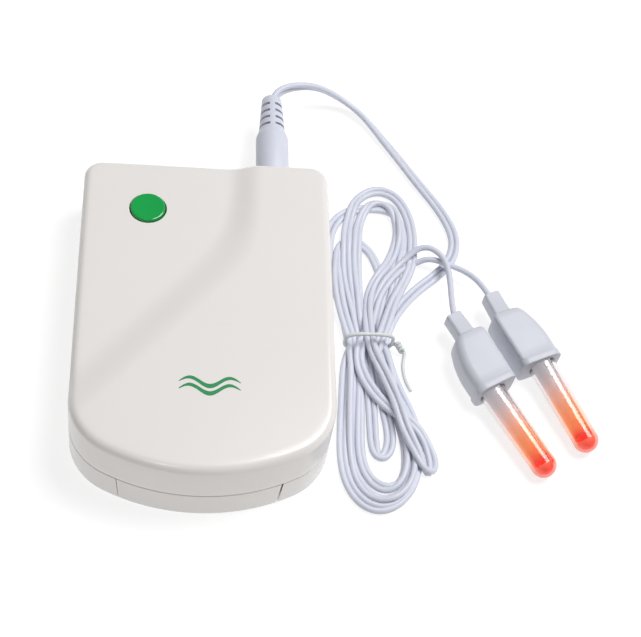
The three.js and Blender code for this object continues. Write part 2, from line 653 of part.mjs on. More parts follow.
const probes = [
  { side: "left", at: [77, -12.3], heading: -60, flatSide: 1 },
  { side: "right", at: [91.2, -3.3], heading: -65.8, flatSide: -1 },
];
for (const { side, at, heading, flatSide } of probes) {
  const probe = new THREE.Group();
  probe.position.set(...at, PROBE_HEIGHT);
  probe.rotation.order = "ZYX";
  probe.rotation.set(PROBE_TILT, 0, THREE.MathUtils.degToRad(heading + 90));
  place(`${side}_probe_handle`, probeHandle(flatSide), COOL_WHITE, probe);
  place(`${side}_probe_tube`, clearTube(), CLEAR, probe);
  place(`${side}_probe_sleeve`, lightSleeve(), GLOW, probe);
  place(`${side}_probe_board`, stickBoard(), BOARD_GREEN, probe);
  place(`${side}_probe_led`, tipLed(), RED, probe);
  unit.add(probe);
  place(`${side}_probe_lead`, tube(probeRoutes[side], LEAD_DIAMETER, 14), COOL_WHITE);
}

export default unit;
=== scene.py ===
"""Looks of a nasal light-therapy unit: case, button, plug, tied lead and two lit probes.

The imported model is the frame. Every length in this file is in metres, unless its name ends in _MM.
"""

import logging
import math
from dataclasses import dataclass, field
from enum import Enum
from itertools import zip_longest
from typing import Callable, Iterable, Sequence

import bmesh
import bpy
import numpy as np
from mathutils import Matrix, Vector


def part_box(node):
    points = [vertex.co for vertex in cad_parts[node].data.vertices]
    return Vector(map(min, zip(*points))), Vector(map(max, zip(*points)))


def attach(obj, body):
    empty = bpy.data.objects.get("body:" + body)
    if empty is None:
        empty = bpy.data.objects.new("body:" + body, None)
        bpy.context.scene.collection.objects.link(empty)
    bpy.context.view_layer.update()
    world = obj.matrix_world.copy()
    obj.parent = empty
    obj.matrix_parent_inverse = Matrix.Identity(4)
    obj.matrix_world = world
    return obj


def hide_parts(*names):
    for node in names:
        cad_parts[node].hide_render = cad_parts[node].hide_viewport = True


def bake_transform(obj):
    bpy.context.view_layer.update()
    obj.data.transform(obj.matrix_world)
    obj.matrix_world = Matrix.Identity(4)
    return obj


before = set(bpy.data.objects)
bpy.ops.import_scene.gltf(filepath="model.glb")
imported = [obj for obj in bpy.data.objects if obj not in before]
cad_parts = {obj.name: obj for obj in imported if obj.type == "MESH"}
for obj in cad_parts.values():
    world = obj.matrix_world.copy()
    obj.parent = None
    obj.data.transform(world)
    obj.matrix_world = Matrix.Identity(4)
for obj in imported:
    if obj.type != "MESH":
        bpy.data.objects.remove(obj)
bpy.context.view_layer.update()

LOG = logging.getLogger("light_unit")
MM = 0.001
Point = tuple[float, float, float]
Obj = bpy.types.Object


class Slot(str, Enum):
    """Material slot names. The build loops list one beside each piece, but no piece takes its finish from them.
    """

    CASE = "case_white"
    LEAD = "lead_white"
    BUTTON = "button_green"
    CLEAR = "clear_plastic"
    GLOW = "glow_sleeve"
    LED = "led_red"
    TIE = "tie_white"


class Body(str, Enum):
    """The frame's bodies that pieces ride on."""

    CASE = "case"
    BUTTON = "button"
    DOOR = "door"
    PLUG = "plug"


# --------------------------------------------------------------------------- node groups


def add_node(tree: bpy.types.NodeTree, kind: str, inputs: dict[str | int, object] | None = None,
             **settings: str) -> bpy.types.Node:
    """Adds a shader node.

    Args:
        tree: The node tree that it goes in.
        kind: Its type, without the leading "ShaderNode".
        inputs: Values for its input sockets.
        settings: Values for its own properties, set before the sockets.

    Returns:
        The new node.
    """
    node = tree.nodes.new(f"ShaderNode{kind}")
    for name, value in settings.items():
        setattr(node, name, value)
    for socket, value in (inputs or {}).items():
        node.inputs[socket].default_value = value
    return node


class Groups:
    """Shader node groups shared by the finishes. Each is built once."""

    @staticmethod
    def _new(name: str, inputs: dict[str, float], outputs: Sequence[str]) -> bpy.types.NodeTree:
        """Starts an empty group.

        Args:
            name: The group's name.
            inputs: Each input's name and default value.
            outputs: The names of the value outputs.

        Returns:
            The new node tree, with its input and output nodes named "in" and "out".
        """
        tree = bpy.data.node_groups.new(name, "ShaderNodeTree")
        tree.interface.new_socket("Vector", in_out="INPUT", socket_type="NodeSocketVector")
        for label, value in inputs.items():
            socket = tree.interface.new_socket(label, in_out="INPUT", socket_type="NodeSocketFloat")
            socket.default_value = value
        for label in outputs:
            tree.interface.new_socket(label, in_out="OUTPUT", socket_type="NodeSocketFloat")
        tree.nodes.new("NodeGroupInput").name = "in"
        tree.nodes.new("NodeGroupOutput").name = "out"
        return tree

    @classmethod
    def skin(cls) -> bpy.types.NodeTree:
        """Moulded plastic: a slow mottle, fine grain and sparse rubbed spots."""
        found = bpy.data.node_groups.get("moulded_skin")
        if found:
            return found
        tree = cls._new("moulded_skin", {"Mottle Scale": 60.0, "Grain Scale": 1800.0},
                        ("Mottle", "Grain", "Rub"))
        links, entry, leave = tree.links, tree.nodes["in"], tree.nodes["out"]
        mottle = add_node(tree, "TexNoise", {"Detail": 3.0})
        grain = add_node(tree, "TexNoise", {"Detail": 2.0})
        rub = add_node(tree, "TexNoise", {"Detail": 6.0, "Roughness": 0.7})
        for texture, scale in ((mottle, "Mottle Scale"), (grain, "Grain Scale"), (rub, "Mottle Scale")):
            links.new(entry.outputs["Vector"], texture.inputs["Vector"])
            links.new(entry.outputs[scale], texture.inputs["Scale"])
        spots = add_node(tree, "MapRange", {"From Min": 0.58, "From Max": 0.75})
        links.new(rub.outputs["Fac"], spots.inputs["Value"])
        links.new(mottle.outputs["Fac"], leave.inputs["Mottle"])
        links.new(grain.outputs["Fac"], leave.inputs["Grain"])
        links.new(spots.outputs["Result"], leave.inputs["Rub"])
        return tree

    @classmethod
    def tracks(cls) -> bpy.types.NodeTree:
        """Circuit tracks: a mask of blocky copper runs under the solder mask."""
        found = bpy.data.node_groups.get("circuit_tracks")
        if found:
            return found
        tree = cls._new("circuit_tracks", {"Scale": 320.0}, ("Mask",))
        links, entry, leave = tree.links, tree.nodes["in"], tree.nodes["out"]
        cells = add_node(tree, "TexVoronoi", distance="CHEBYCHEV", feature="F1")
        runs = add_node(tree, "TexWave", {"Distortion": 2.0}, wave_profile="SAW")
        for texture in (cells, runs):
            links.new(entry.outputs["Vector"], texture.inputs["Vector"])
            links.new(entry.outputs["Scale"], texture.inputs["Scale"])
        both = add_node(tree, "Math", operation="MULTIPLY")
        links.new(cells.outputs["Distance"], both.inputs[0])
        links.new(runs.outputs["Fac"], both.inputs[1])
        over = add_node(tree, "Math", {1: 0.16}, operation="GREATER_THAN")
        links.new(both.outputs["Value"], over.inputs[0])
        links.new(over.outputs["Value"], leave.inputs["Mask"])
        return tree


# --------------------------------------------------------------------------- finishes


@dataclass(frozen=True)
class Surface:
    """What every finish shares: a name, and moulded skin read on the piece's own coordinates."""

    name: str

    def material(self) -> bpy.types.Material:
        """Builds the material once and gives it back afterwards."""
        found = bpy.data.materials.get(self.name)
        if found:
            return found
        material = bpy.data.materials.new(self.name)
        material.use_nodes = True
        tree = material.node_tree
        where = add_node(tree, "TexCoord")
        skin = add_node(tree, "Group")
        skin.node_tree = Groups.skin()
        tree.links.new(where.outputs["Object"], skin.inputs["Vector"])
        self.dress(tree, skin, tree.nodes["Principled BSDF"])
        return material

    def dress(self, tree: bpy.types.NodeTree, skin: bpy.types.Node, bsdf: bpy.types.Node) -> None:
        """Sets the shader's values and links its inputs.

        Args:
            tree: The material's node tree.
            skin: The moulded skin group in it.
            bsdf: Its shader.
        """
        raise NotImplementedError


@dataclass(frozen=True)
class Finish(Surface):
    """A moulded, painted or plated surface with grain and mottle.

    Attributes:
        colour: The main colour, linear.
        tint: The colour that the mottle drifts towards.
        roughness: The mean roughness.
        spread: How far the roughness drifts.
        metallic: 1 on metal, 0 elsewhere.
        coat: The weight of a clear, sharp coat.
        grain: Strength of the fine bump.
        grain_scale: Fineness of the bump.
        mottle_scale: Fineness of the mottle.
    """

    colour: tuple[float, float, float]
    tint: tuple[float, float, float]
    roughness: float = 0.3
    spread: float = 0.08
    metallic: float = 0.0
    coat: float = 0.0
    grain: float = 0.05
    grain_scale: float = 1800.0
    mottle_scale: float = 60.0

    def dress(self, tree: bpy.types.NodeTree, skin: bpy.types.Node, bsdf: bpy.types.Node) -> None:
        """Sets the plain values, then links colour, roughness and bump."""
        bsdf.inputs["Metallic"].default_value = self.metallic
        bsdf.inputs["Coat Weight"].default_value = self.coat
        bsdf.inputs["Coat Roughness"].default_value = 0.06
        skin.inputs["Mottle Scale"].default_value = self.mottle_scale
        skin.inputs["Grain Scale"].default_value = self.grain_scale
        self.paint(tree, skin, bsdf)
        rough = add_node(tree, "MapRange", {"To Min": max(self.roughness - self.spread, 0.02),
                                            "To Max": self.roughness + self.spread})
        tree.links.new(skin.outputs["Mottle"], rough.inputs["Value"])
        tree.links.new(rough.outputs["Result"], bsdf.inputs["Roughness"])
        bump = add_node(tree, "Bump", {"Strength": self.grain, "Distance": 0.0002})
        tree.links.new(skin.outputs["Grain"], bump.inputs["Height"])
        tree.links.new(bump.outputs["Normal"], bsdf.inputs["Normal"])

    def paint(self, tree: bpy.types.NodeTree, skin: bpy.types.Node, bsdf: bpy.types.Node) -> None:
        """Links the base colour: the main colour drifting towards the tint."""
        self.blend(tree, skin.outputs["Mottle"], self.tint, bsdf)

    def blend(self, tree: bpy.types.NodeTree, mask: bpy.types.NodeSocket,
              other: tuple[float, float, float], bsdf: bpy.types.Node) -> None:
        """Links the base colour as the main colour and another, by a mask.

        Args:
            tree: The material's node tree.
            mask: 0 for the main colour, 1 for the other.
            other: The other colour.
            bsdf: The shader.
        """
        mix = add_node(tree, "Mix", {"A": (*self.colour, 1.0), "B": (*other, 1.0)}, data_type="RGBA")
        tree.links.new(mask, mix.inputs["Factor"])
        tree.links.new(mix.outputs["Result"], bsdf.inputs["Base Color"])


@dataclass(frozen=True)
class TrackedBoard(Finish):
    """Solder mask over copper tracks."""

    track: tuple[float, float, float] = (0.06, 0.22, 0.09)

    def paint(self, tree: bpy.types.NodeTree, skin: bpy.types.Node, bsdf: bpy.types.Node) -> None:
        """Links the base colour: the mask colour, lighter over the tracks."""
        where = add_node(tree, "TexCoord")
        tracks = add_node(tree, "Group")
        tracks.node_tree = Groups.tracks()
        tree.links.new(where.outputs["Object"], tracks.inputs["Vector"])
        self.blend(tree, tracks.outputs["Mask"], self.track, bsdf)


@dataclass(frozen=True)
class Banded(Finish):
    """A body with cross bands of other colours along one axis.

    Attributes:
        stops: Where each band starts, from 0 to 1, and its colour.
        start: Where along the axis 0 is.
        end: Where along the axis 1 is.
        axis: X, Y or Z.
    """

    stops: tuple[tuple[float, tuple[float, float, float]], ...] = ()
    start: float = 0.0
    end: float = 1.0
    axis: str = "Y"

    def paint(self, tree: bpy.types.NodeTree, skin: bpy.types.Node, bsdf: bpy.types.Node) -> None:
        """Links the base colour: a row of plain bands from start to end along the axis."""
        where, split = add_node(tree, "TexCoord"), add_node(tree, "SeparateXYZ")
        along = add_node(tree, "MapRange", {"From Min": self.start, "From Max": self.end})
        ramp = add_node(tree, "ValToRGB")
        ramp.color_ramp.interpolation = "CONSTANT"
        ramp.color_ramp.elements[0].color = (*self.colour, 1.0)
        ramp.color_ramp.elements.remove(ramp.color_ramp.elements[1])
        for place, colour in self.stops:
            ramp.color_ramp.elements.new(place).color = (*colour, 1.0)
        tree.links.new(where.outputs["Object"], split.inputs["Vector"])
        tree.links.new(split.outputs[self.axis], along.inputs["Value"])
        tree.links.new(along.outputs["Result"], ramp.inputs["Fac"])
        tree.links.new(ramp.outputs["Color"], bsdf.inputs["Base Color"])


@dataclass(frozen=True)
class LitPlastic(Surface):
    """Plastic lit from one end. Attribute "along" runs from 0 at the root to 1 at the tip.

    Attributes:
        stops: Place along the piece, its colour, and how strongly it glows there.
        roughness: The surface's roughness.
        drift: How far the mottle shifts the stops.
    """

    stops: tuple[tuple[float, tuple[float, float, float], float], ...]
    roughness: float = 0.35
    drift: float = 0.16

    def dress(self, tree: bpy.types.NodeTree, skin: bpy.types.Node, bsdf: bpy.types.Node) -> None:
        """Links the colour, the glow and the roughness to the mottled place along the piece."""
        links = tree.links
        bsdf.inputs["Emission Strength"].default_value = 1.0
        skin.inputs["Mottle Scale"].default_value = 420.0
        along = add_node(tree, "Attribute", attribute_name="along")
        centred = add_node(tree, "Math", {1: self.drift / 2}, operation="SUBTRACT")
        cloud = add_node(tree, "Math", {1: self.drift}, operation="MULTIPLY_ADD")
        links.new(along.outputs["Fac"], centred.inputs[0])
        links.new(skin.outputs["Mottle"], cloud.inputs[0])
        links.new(centred.outputs["Value"], cloud.inputs[2])
        glow = [[c * strength for c in colour] for _, colour, strength in self.stops]
        tone = [self.tone(colour) for _, colour, _ in self.stops]
        for socket, colours in (("Base Color", tone), ("Emission Color", glow)):
            ramp = add_node(tree, "ValToRGB")
            for index, ((place, *_), colour) in enumerate(zip(self.stops, colours)):
                if index > 1:
                    ramp.color_ramp.elements.new(place)
                ramp.color_ramp.elements[index].position = place
                ramp.color_ramp.elements[index].color = (*colour, 1.0)
            links.new(cloud.outputs["Value"], ramp.inputs["Fac"])
            links.new(ramp.outputs["Color"], bsdf.inputs[socket])
        rough = add_node(tree, "MapRange", {"To Min": self.roughness, "To Max": self.roughness + 0.05})
        links.new(skin.outputs["Rub"], rough.inputs["Value"])
        links.new(rough.outputs["Result"], bsdf.inputs["Roughness"])
        self.body(bsdf)

    def tone(self, colour: tuple[float, float, float]) -> list[float]:
        """The surface's colour for a stop's colour."""
        return list(colour)

    def body(self, bsdf: bpy.types.Node) -> None:
        """Sets what the piece is made of on its shader."""


@dataclass(frozen=True)
class ClearPlastic(LitPlastic):
    """Polished clear plastic that carries some of the light."""

    roughness: float = 0.03

    def body(self, bsdf: bpy.types.Node) -> None:
        """Lets light through."""
        bsdf.inputs["Transmission Weight"].default_value = 1.0
        bsdf.inputs["IOR"].default_value = 1.47


@dataclass(frozen=True)
class GlowPlastic(LitPlastic):
    """Milky plastic that glows."""

    def tone(self, colour: tuple[float, float, float]) -> list[float]:
        """The surface is darker than its glow."""
        return [0.55 * c for c in colour]

    def body(self, bsdf: bpy.types.Node) -> None:
        """Keeps its shine low."""
        bsdf.inputs["Specular IOR Level"].default_value = 0.3


CASE_WHITE = Finish("case_white_gloss", (0.765, 0.735, 0.715), (0.745, 0.713, 0.690), 0.24, 0.05,
                    grain=0.03, grain_scale=900.0, mottle_scale=40.0, coat=0.15)
LEAD_WHITE = Finish("lead_white_pvc", (0.62, 0.64, 0.725), (0.58, 0.60, 0.69), 0.42, 0.06,
                    grain=0.06, grain_scale=2500.0, mottle_scale=300.0)
GRIP_WHITE = Finish("grip_white_pvc", (0.555, 0.57, 0.63), (0.53, 0.545, 0.605), 0.46, 0.06,
                    grain=0.08, grain_scale=2200.0, mottle_scale=180.0)
BUTTON_GREEN = Finish("button_green_gloss", (0.0, 0.36, 0.065), (0.0, 0.32, 0.055), 0.12, 0.04,
                      grain=0.02, grain_scale=1200.0, mottle_scale=200.0, coat=0.6)
PRINT_GREEN = Finish("print_green_ink", (0.0, 0.25, 0.07), (0.0, 0.22, 0.06), 0.5, 0.1,
                     grain=0.1, grain_scale=6000.0, mottle_scale=900.0)
TIE_WHITE = Finish("tie_white_coating", (0.66, 0.69, 0.69), (0.60, 0.63, 0.63), 0.4, 0.08,
                   grain=0.15, grain_scale=3000.0, mottle_scale=500.0)
BLACK = Finish("black_moulding", (0.018, 0.018, 0.02), (0.03, 0.03, 0.032), 0.45, 0.1,
               grain=0.12, grain_scale=2600.0, mottle_scale=200.0)
STEEL = Finish("screw_zinc", (0.56, 0.57, 0.58), (0.48, 0.48, 0.47), 0.3, 0.1, metallic=1.0,
               grain=0.1, grain_scale=4000.0, mottle_scale=700.0)
BRASS = Finish("pin_nickel", (0.78, 0.74, 0.66), (0.70, 0.64, 0.52), 0.18, 0.06, metallic=1.0,
               grain=0.04, grain_scale=5000.0, mottle_scale=500.0)
WIRE_RED = Finish("wire_red", (0.55, 0.015, 0.012), (0.48, 0.012, 0.01), 0.38, 0.06, mottle_scale=600.0)
WIRE_BLACK = Finish("wire_black", (0.015, 0.015, 0.016), (0.03, 0.03, 0.03), 0.38, 0.06, mottle_scale=600.0)
BOARD = TrackedBoard("board_mask", (0.012, 0.10, 0.035), (0.02, 0.14, 0.05), 0.3, 0.08, coat=0.4)
BATTERY_WRAP = Banded("battery_foil", (0.03, 0.09, 0.25), (0.03, 0.09, 0.25), 0.25, 0.06, metallic=0.6,
                      stops=((0.24, (0.72, 0.72, 0.70)), (0.30, (0.03, 0.09, 0.25)),
                             (0.93, (0.55, 0.56, 0.58))), start=-0.0443, end=0.0042)
CAPACITOR = Banded("capacitor_sleeve", (0.02, 0.05, 0.16), (0.02, 0.05, 0.16), 0.3, 0.05,
                   stops=((0.28, (0.5, 0.52, 0.55)), (0.48, (0.02, 0.05, 0.16))),
                   start=-0.0105, end=-0.0055, axis="X")
RESISTOR = Finish("resistor_lacquer", (0.60, 0.44, 0.24), (0.50, 0.34, 0.16), 0.35, 0.08,
                  mottle_scale=900.0)
CLEAR_TUBE = ClearPlastic("clear_tube", (
    (0.0, (0.88, 0.88, 0.89), 0.0), (0.30, (0.92, 0.84, 0.84), 0.0), (0.55, (0.95, 0.72, 0.64), 0.02),
    (0.80, (0.95, 0.60, 0.46), 0.04), (0.90, (0.92, 0.36, 0.28), 0.03), (1.0, (0.88, 0.20, 0.16), 0.03)))
SLEEVE_GLOW = GlowPlastic("sleeve_glow", (
    (0.0, (0.66, 0.70, 0.74), 0.42), (0.26, (0.76, 0.72, 0.74), 0.48), (0.42, (0.90, 0.68, 0.64), 0.56),
    (0.54, (0.96, 0.54, 0.40), 0.62), (0.68, (0.95, 0.44, 0.24), 0.66), (0.84, (0.94, 0.36, 0.14), 0.68),
    (1.0, (0.88, 0.08, 0.05), 0.70)))
LED_GLOW = GlowPlastic("led_glow", (
    (0.0, (0.9, 0.06, 0.04), 0.7), (0.5, (0.85, 0.03, 0.03), 0.9), (1.0, (0.9, 0.04, 0.03), 0.9)), 0.15)


# --------------------------------------------------------------------------- bench helpers


def clear_selection() -> None:
    """Leaves edit mode if need be and deselects everything."""
    if bpy.context.object and bpy.context.object.mode != "OBJECT":
        bpy.ops.object.mode_set(mode="OBJECT")
    bpy.ops.object.select_all(action="DESELECT")


def link(obj: Obj) -> Obj:
    """Adds a new object to the scene and gives it back."""
    bpy.context.scene.collection.objects.link(obj)
    return obj


def pick(obj: Obj) -> Obj:
    """Selects one object alone and makes it active.

    Args:
        obj: The object.

    Returns:
        The same object.
    """
    clear_selection()
    obj.select_set(True)
    bpy.context.view_layer.objects.active = obj
    return obj


def settle(obj: Obj, matrix: Matrix | None = None) -> Obj:
    """Puts an object's place into its mesh, so that the object sits at the origin.

    Args:
        obj: The object.
        matrix: Where it goes, or None to keep its place.

    Returns:
        The same object.
    """
    pick(obj)
    if matrix is not None:
        obj.matrix_world = matrix
    bpy.ops.object.transform_apply(location=True, rotation=True, scale=True)
    return obj


def combine(obj: Obj, tool: Obj, operation: str) -> None:
    """Applies a boolean with another object, which is then removed.

    Args:
        obj: The piece that is kept.
        tool: The other solid.
        operation: DIFFERENCE, INTERSECT or UNION.
    """
    pick(obj)
    modifier = obj.modifiers.new("shape", "BOOLEAN")
    modifier.operation = operation
    modifier.solver = "EXACT"
    modifier.object = tool
    bpy.ops.object.modifier_apply(modifier=modifier.name)
    bpy.data.objects.remove(tool)


def finish_piece(obj: Obj, finish: Surface, body: Body | None,
                 smooth_below: float = 32.0) -> Obj:
    """Shades a piece, gives it its finish, and lets it ride.

    Args:
        obj: The piece, in place.
        finish: What it is made of.
        body: The body it rides on, or None where it blends between two.
        smooth_below: Edges blunter than this many degrees look round.

    Returns:
        The same object.
    """
    pick(obj)
    bpy.ops.object.shade_smooth_by_angle(angle=math.radians(smooth_below))
    obj.data.materials.clear()
    obj.data.materials.append(finish.material())
    if body is not None:
        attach(obj, body.value)
    return obj


def block(name: str, low: Point, high: Point, flare: float = 1.0) -> Obj:
    """A plain block between two corners, used to cut or to be shaped further.

    Args:
        name: The object's name.
        low: Its lowest corner.
        high: Its highest corner.
        flare: How much wider than its foot its top is, across x.

    Returns:
        The new object.
    """
    clear_selection()
    centre = [(a + b) / 2 for a, b in zip(low, high)]
    bpy.ops.mesh.primitive_cube_add(size=1, location=centre)
    obj = bpy.context.object
    obj.name = name
    obj.scale = [b - a for a, b in zip(low, high)]
    settle(obj)
    if flare != 1.0:
        bpy.ops.object.mode_set(mode="EDIT")
        mesh = bmesh.from_edit_mesh(obj.data)
        for vertex in mesh.verts:
            vertex.select_set(vertex.co.z > centre[2])
        mesh.select_flush_mode()
        bpy.ops.transform.resize(value=(flare, 1, 1), center_override=centre)
        bpy.ops.object.mode_set(mode="OBJECT")
    return obj


class RingForm:
    """A closed skin grown ring by ring: a circle is added, then extruded and moved station by station."""

    def __init__(self, name: str, count: int) -> None:
        """Adds the first circle.

        Args:
            name: The object's name.
            count: How many stations each ring has.
        """
        clear_selection()
        bpy.ops.mesh.primitive_circle_add(vertices=count, radius=1)
        self.obj = bpy.context.object
        self.obj.name = name
        self.count = count
        self.started = False
        bpy.ops.object.mode_set(mode="EDIT")
        mesh = bmesh.from_edit_mesh(self.obj.data)
        layer = mesh.verts.layers.int.new("station")
        mesh.verts.ensure_lookup_table()
        for index, vertex in enumerate(mesh.verts):
            vertex[layer] = index
        bmesh.update_edit_mesh(self.obj.data)
        bpy.ops.mesh.select_all(action="SELECT")

    def ring(self, points: Sequence[Sequence[float]]) -> "RingForm":
        """Grows the skin to the next ring.

        Args:
            points: One place for each station.

        Returns:
            This form, so that rings can follow each other.
        """
        if self.started:
            bpy.ops.mesh.extrude_region_move(TRANSFORM_OT_translate={"value": (0, 0, 0)})
        mesh = bmesh.from_edit_mesh(self.obj.data)
        layer = mesh.verts.layers.int["station"]
        for vertex in mesh.verts:
            if vertex.select:
                vertex.co = points[vertex[layer]]
        if not self.started:
            self.cap()
        self.started = True
        bmesh.update_edit_mesh(self.obj.data)
        return self

    def cap(self) -> None:
        """Closes the selected ring with a face and keeps only its rim selected."""
        bpy.ops.mesh.edge_face_add()
        bpy.ops.mesh.select_mode(type="EDGE")
        mesh = bmesh.from_edit_mesh(self.obj.data)
        for face in mesh.faces:
            if len(face.verts) == self.count and face.select:
                face.select_set(False)
                for edge in face.edges:
                    edge.select_set(True)
        bmesh.update_edit_mesh(self.obj.data)

    def close(self) -> Obj:
        """Caps the last ring and turns every face outwards.

        Returns:
            The finished object, in object mode.
        """
        bpy.ops.mesh.edge_face_add()
        return self._weld()

    def join_ends(self) -> Obj:
        """Joins the last ring to the first, at the same place, so that the form is a closed washer.

        Returns:
            The finished object, in object mode.
        """
        mesh = bmesh.from_edit_mesh(self.obj.data)
        caps = [face for face in mesh.faces if len(face.verts) == self.count]
        bmesh.ops.delete(mesh, geom=caps, context="FACES_ONLY")
        bmesh.update_edit_mesh(self.obj.data)
        return self._weld()

    def _weld(self) -> Obj:
        """Merges what stands at the same place and turns every face outwards."""
        bpy.ops.mesh.select_mode(type="VERT")
        bpy.ops.mesh.select_all(action="SELECT")
        bpy.ops.mesh.remove_doubles(threshold=1e-7)
        bpy.ops.mesh.normals_make_consistent(inside=False)
        bpy.ops.object.mode_set(mode="OBJECT")
        return self.obj


def around(radius: float, place: float, count: int, axis: str = "Y") -> list[Point]:
    """Evenly spaced points on a circle about an axis through the origin.

    Args:
        radius: The circle's radius.
        place: Where it stands along the axis.
        count: How many points it has.
        axis: Z or Y.

    Returns:
        The points.
    """
    angles = [2 * math.pi * k / count for k in range(count)]
    flat = [(radius * math.cos(a), radius * math.sin(a)) for a in angles]
    return [(a, b, place) if axis == "Z" else (a, place, b) for a, b in flat]


def turned(name: str, profile: Sequence[tuple[float, float]], axis: str = "Z", count: int = 64) -> Obj:
    """A turned piece about an axis through the origin.

    Args:
        name: The object's name.
        profile: Radius and place along the axis, from the first cap to the last.
        axis: Z or Y.
        count: Stations round the axis.

    Returns:
        The new object, round the axis.
    """
    form = RingForm(name, count)
    for radius, place in profile:
        form.ring(around(radius, place, count, axis))
    return form.close()


def arc(centre: tuple[float, float], radius: float, start: float, end: float,
        steps: int) -> list[tuple[float, float]]:
    """Points on an arc of a profile.

    Args:
        centre: The arc's centre.
        radius: Its radius.
        start: Its first angle, in degrees.
        end: Its last angle, in degrees.
        steps: How many stretches it has.

    Returns:
        steps + 1 points.
    """
    angles = [math.radians(start + (end - start) * k / steps) for k in range(steps + 1)]
    return [(centre[0] + radius * math.cos(a), centre[1] + radius * math.sin(a)) for a in angles]


# --------------------------------------------------------------------------- studio


@dataclass
class Studio:
    """Camera, floor and lights."""

    target: Point = (0.03234, 0.01254, 0.0)
    distance: float = 0.4392
    elevation: float = 54.9
    heading: float = 10.7
    roll: float = 11.2
    lens: float = 90.53
    floor_size: float = 6.0

    def camera(self) -> None:
        """Adds the camera and makes it the scene's."""
        up, turn, lean = (math.radians(a) for a in (self.elevation, self.heading, self.roll))
        ahead = Vector((math.sin(turn) * math.cos(up), math.cos(turn) * math.cos(up), -math.sin(up)))
        right = Vector((math.cos(turn), -math.sin(turn), 0.0))
        above = right.cross(ahead)
        leaned_right = right * math.cos(lean) + above * math.sin(lean)
        leaned_up = above * math.cos(lean) - right * math.sin(lean)
        data = bpy.data.cameras.new("camera")
        data.lens = self.lens
        data.clip_start = 0.01
        camera = link(bpy.data.objects.new("camera", data))
        axes = Matrix((leaned_right, leaned_up, -ahead)).transposed()
        camera.matrix_world = Matrix.Translation(Vector(self.target) - ahead * self.distance) @ axes.to_4x4()
        bpy.context.scene.camera = camera

    def floor(self) -> None:
        """Adds the pale floor."""
        clear_selection()
        bpy.ops.mesh.primitive_plane_add(size=self.floor_size)
        floor = bpy.context.object
        floor.name = "floor"
        material = bpy.data.materials.new("floor_pale")
        material.use_nodes = True
        bsdf = material.node_tree.nodes["Principled BSDF"]
        bsdf.inputs["Base Color"].default_value = (0.32, 0.32, 0.32, 1.0)
        bsdf.inputs["Roughness"].default_value = 0.9
        bsdf.inputs["Specular IOR Level"].default_value = 0.1
        bsdf.inputs["Emission Color"].default_value = (1.0, 1.0, 1.0, 1.0)
        bsdf.inputs["Emission Strength"].default_value = 0.77
        floor.data.materials.append(material)

    @staticmethod
    def softbox(name: str, place: Point, aim: Point, size: float, power: float) -> None:
        """Adds one soft square light.

        Args:
            name: Its name.
            place: Where it hangs.
            aim: The point it faces.
            size: Its side.
            power: Its power in watts.
        """
        data = bpy.data.lights.new(name, "AREA")
        data.energy = power
        data.size = size
        light = link(bpy.data.objects.new(name, data))
        direction = Vector(aim) - Vector(place)
        light.matrix_world = (Matrix.Translation(place)
                              @ direction.to_track_quat("-Z", "Y").to_matrix().to_4x4())

    def lights(self) -> None:
        """Adds the even surround and the soft lights."""
        world = bpy.data.worlds.new("surround")
        world.use_nodes = True
        background = world.node_tree.nodes["Background"]
        background.inputs["Color"].default_value = (1.0, 1.0, 1.0, 1.0)
        background.inputs["Strength"].default_value = 0.24
        bpy.context.scene.world = world
        self.softbox("key", (0.44, 0.20, 0.92), (0.02, 0, 0), 0.55, 10.2)
        self.softbox("glint", (-0.125, -0.43, 0.60), (0, -0.04, 0.02), 0.022, 0.3)
        view = bpy.context.scene.view_settings
        view.view_transform = "Standard"

    def build(self) -> None:
        """Adds everything."""
        self.camera()
        self.floor()
        self.lights()


# --------------------------------------------------------------------------- case


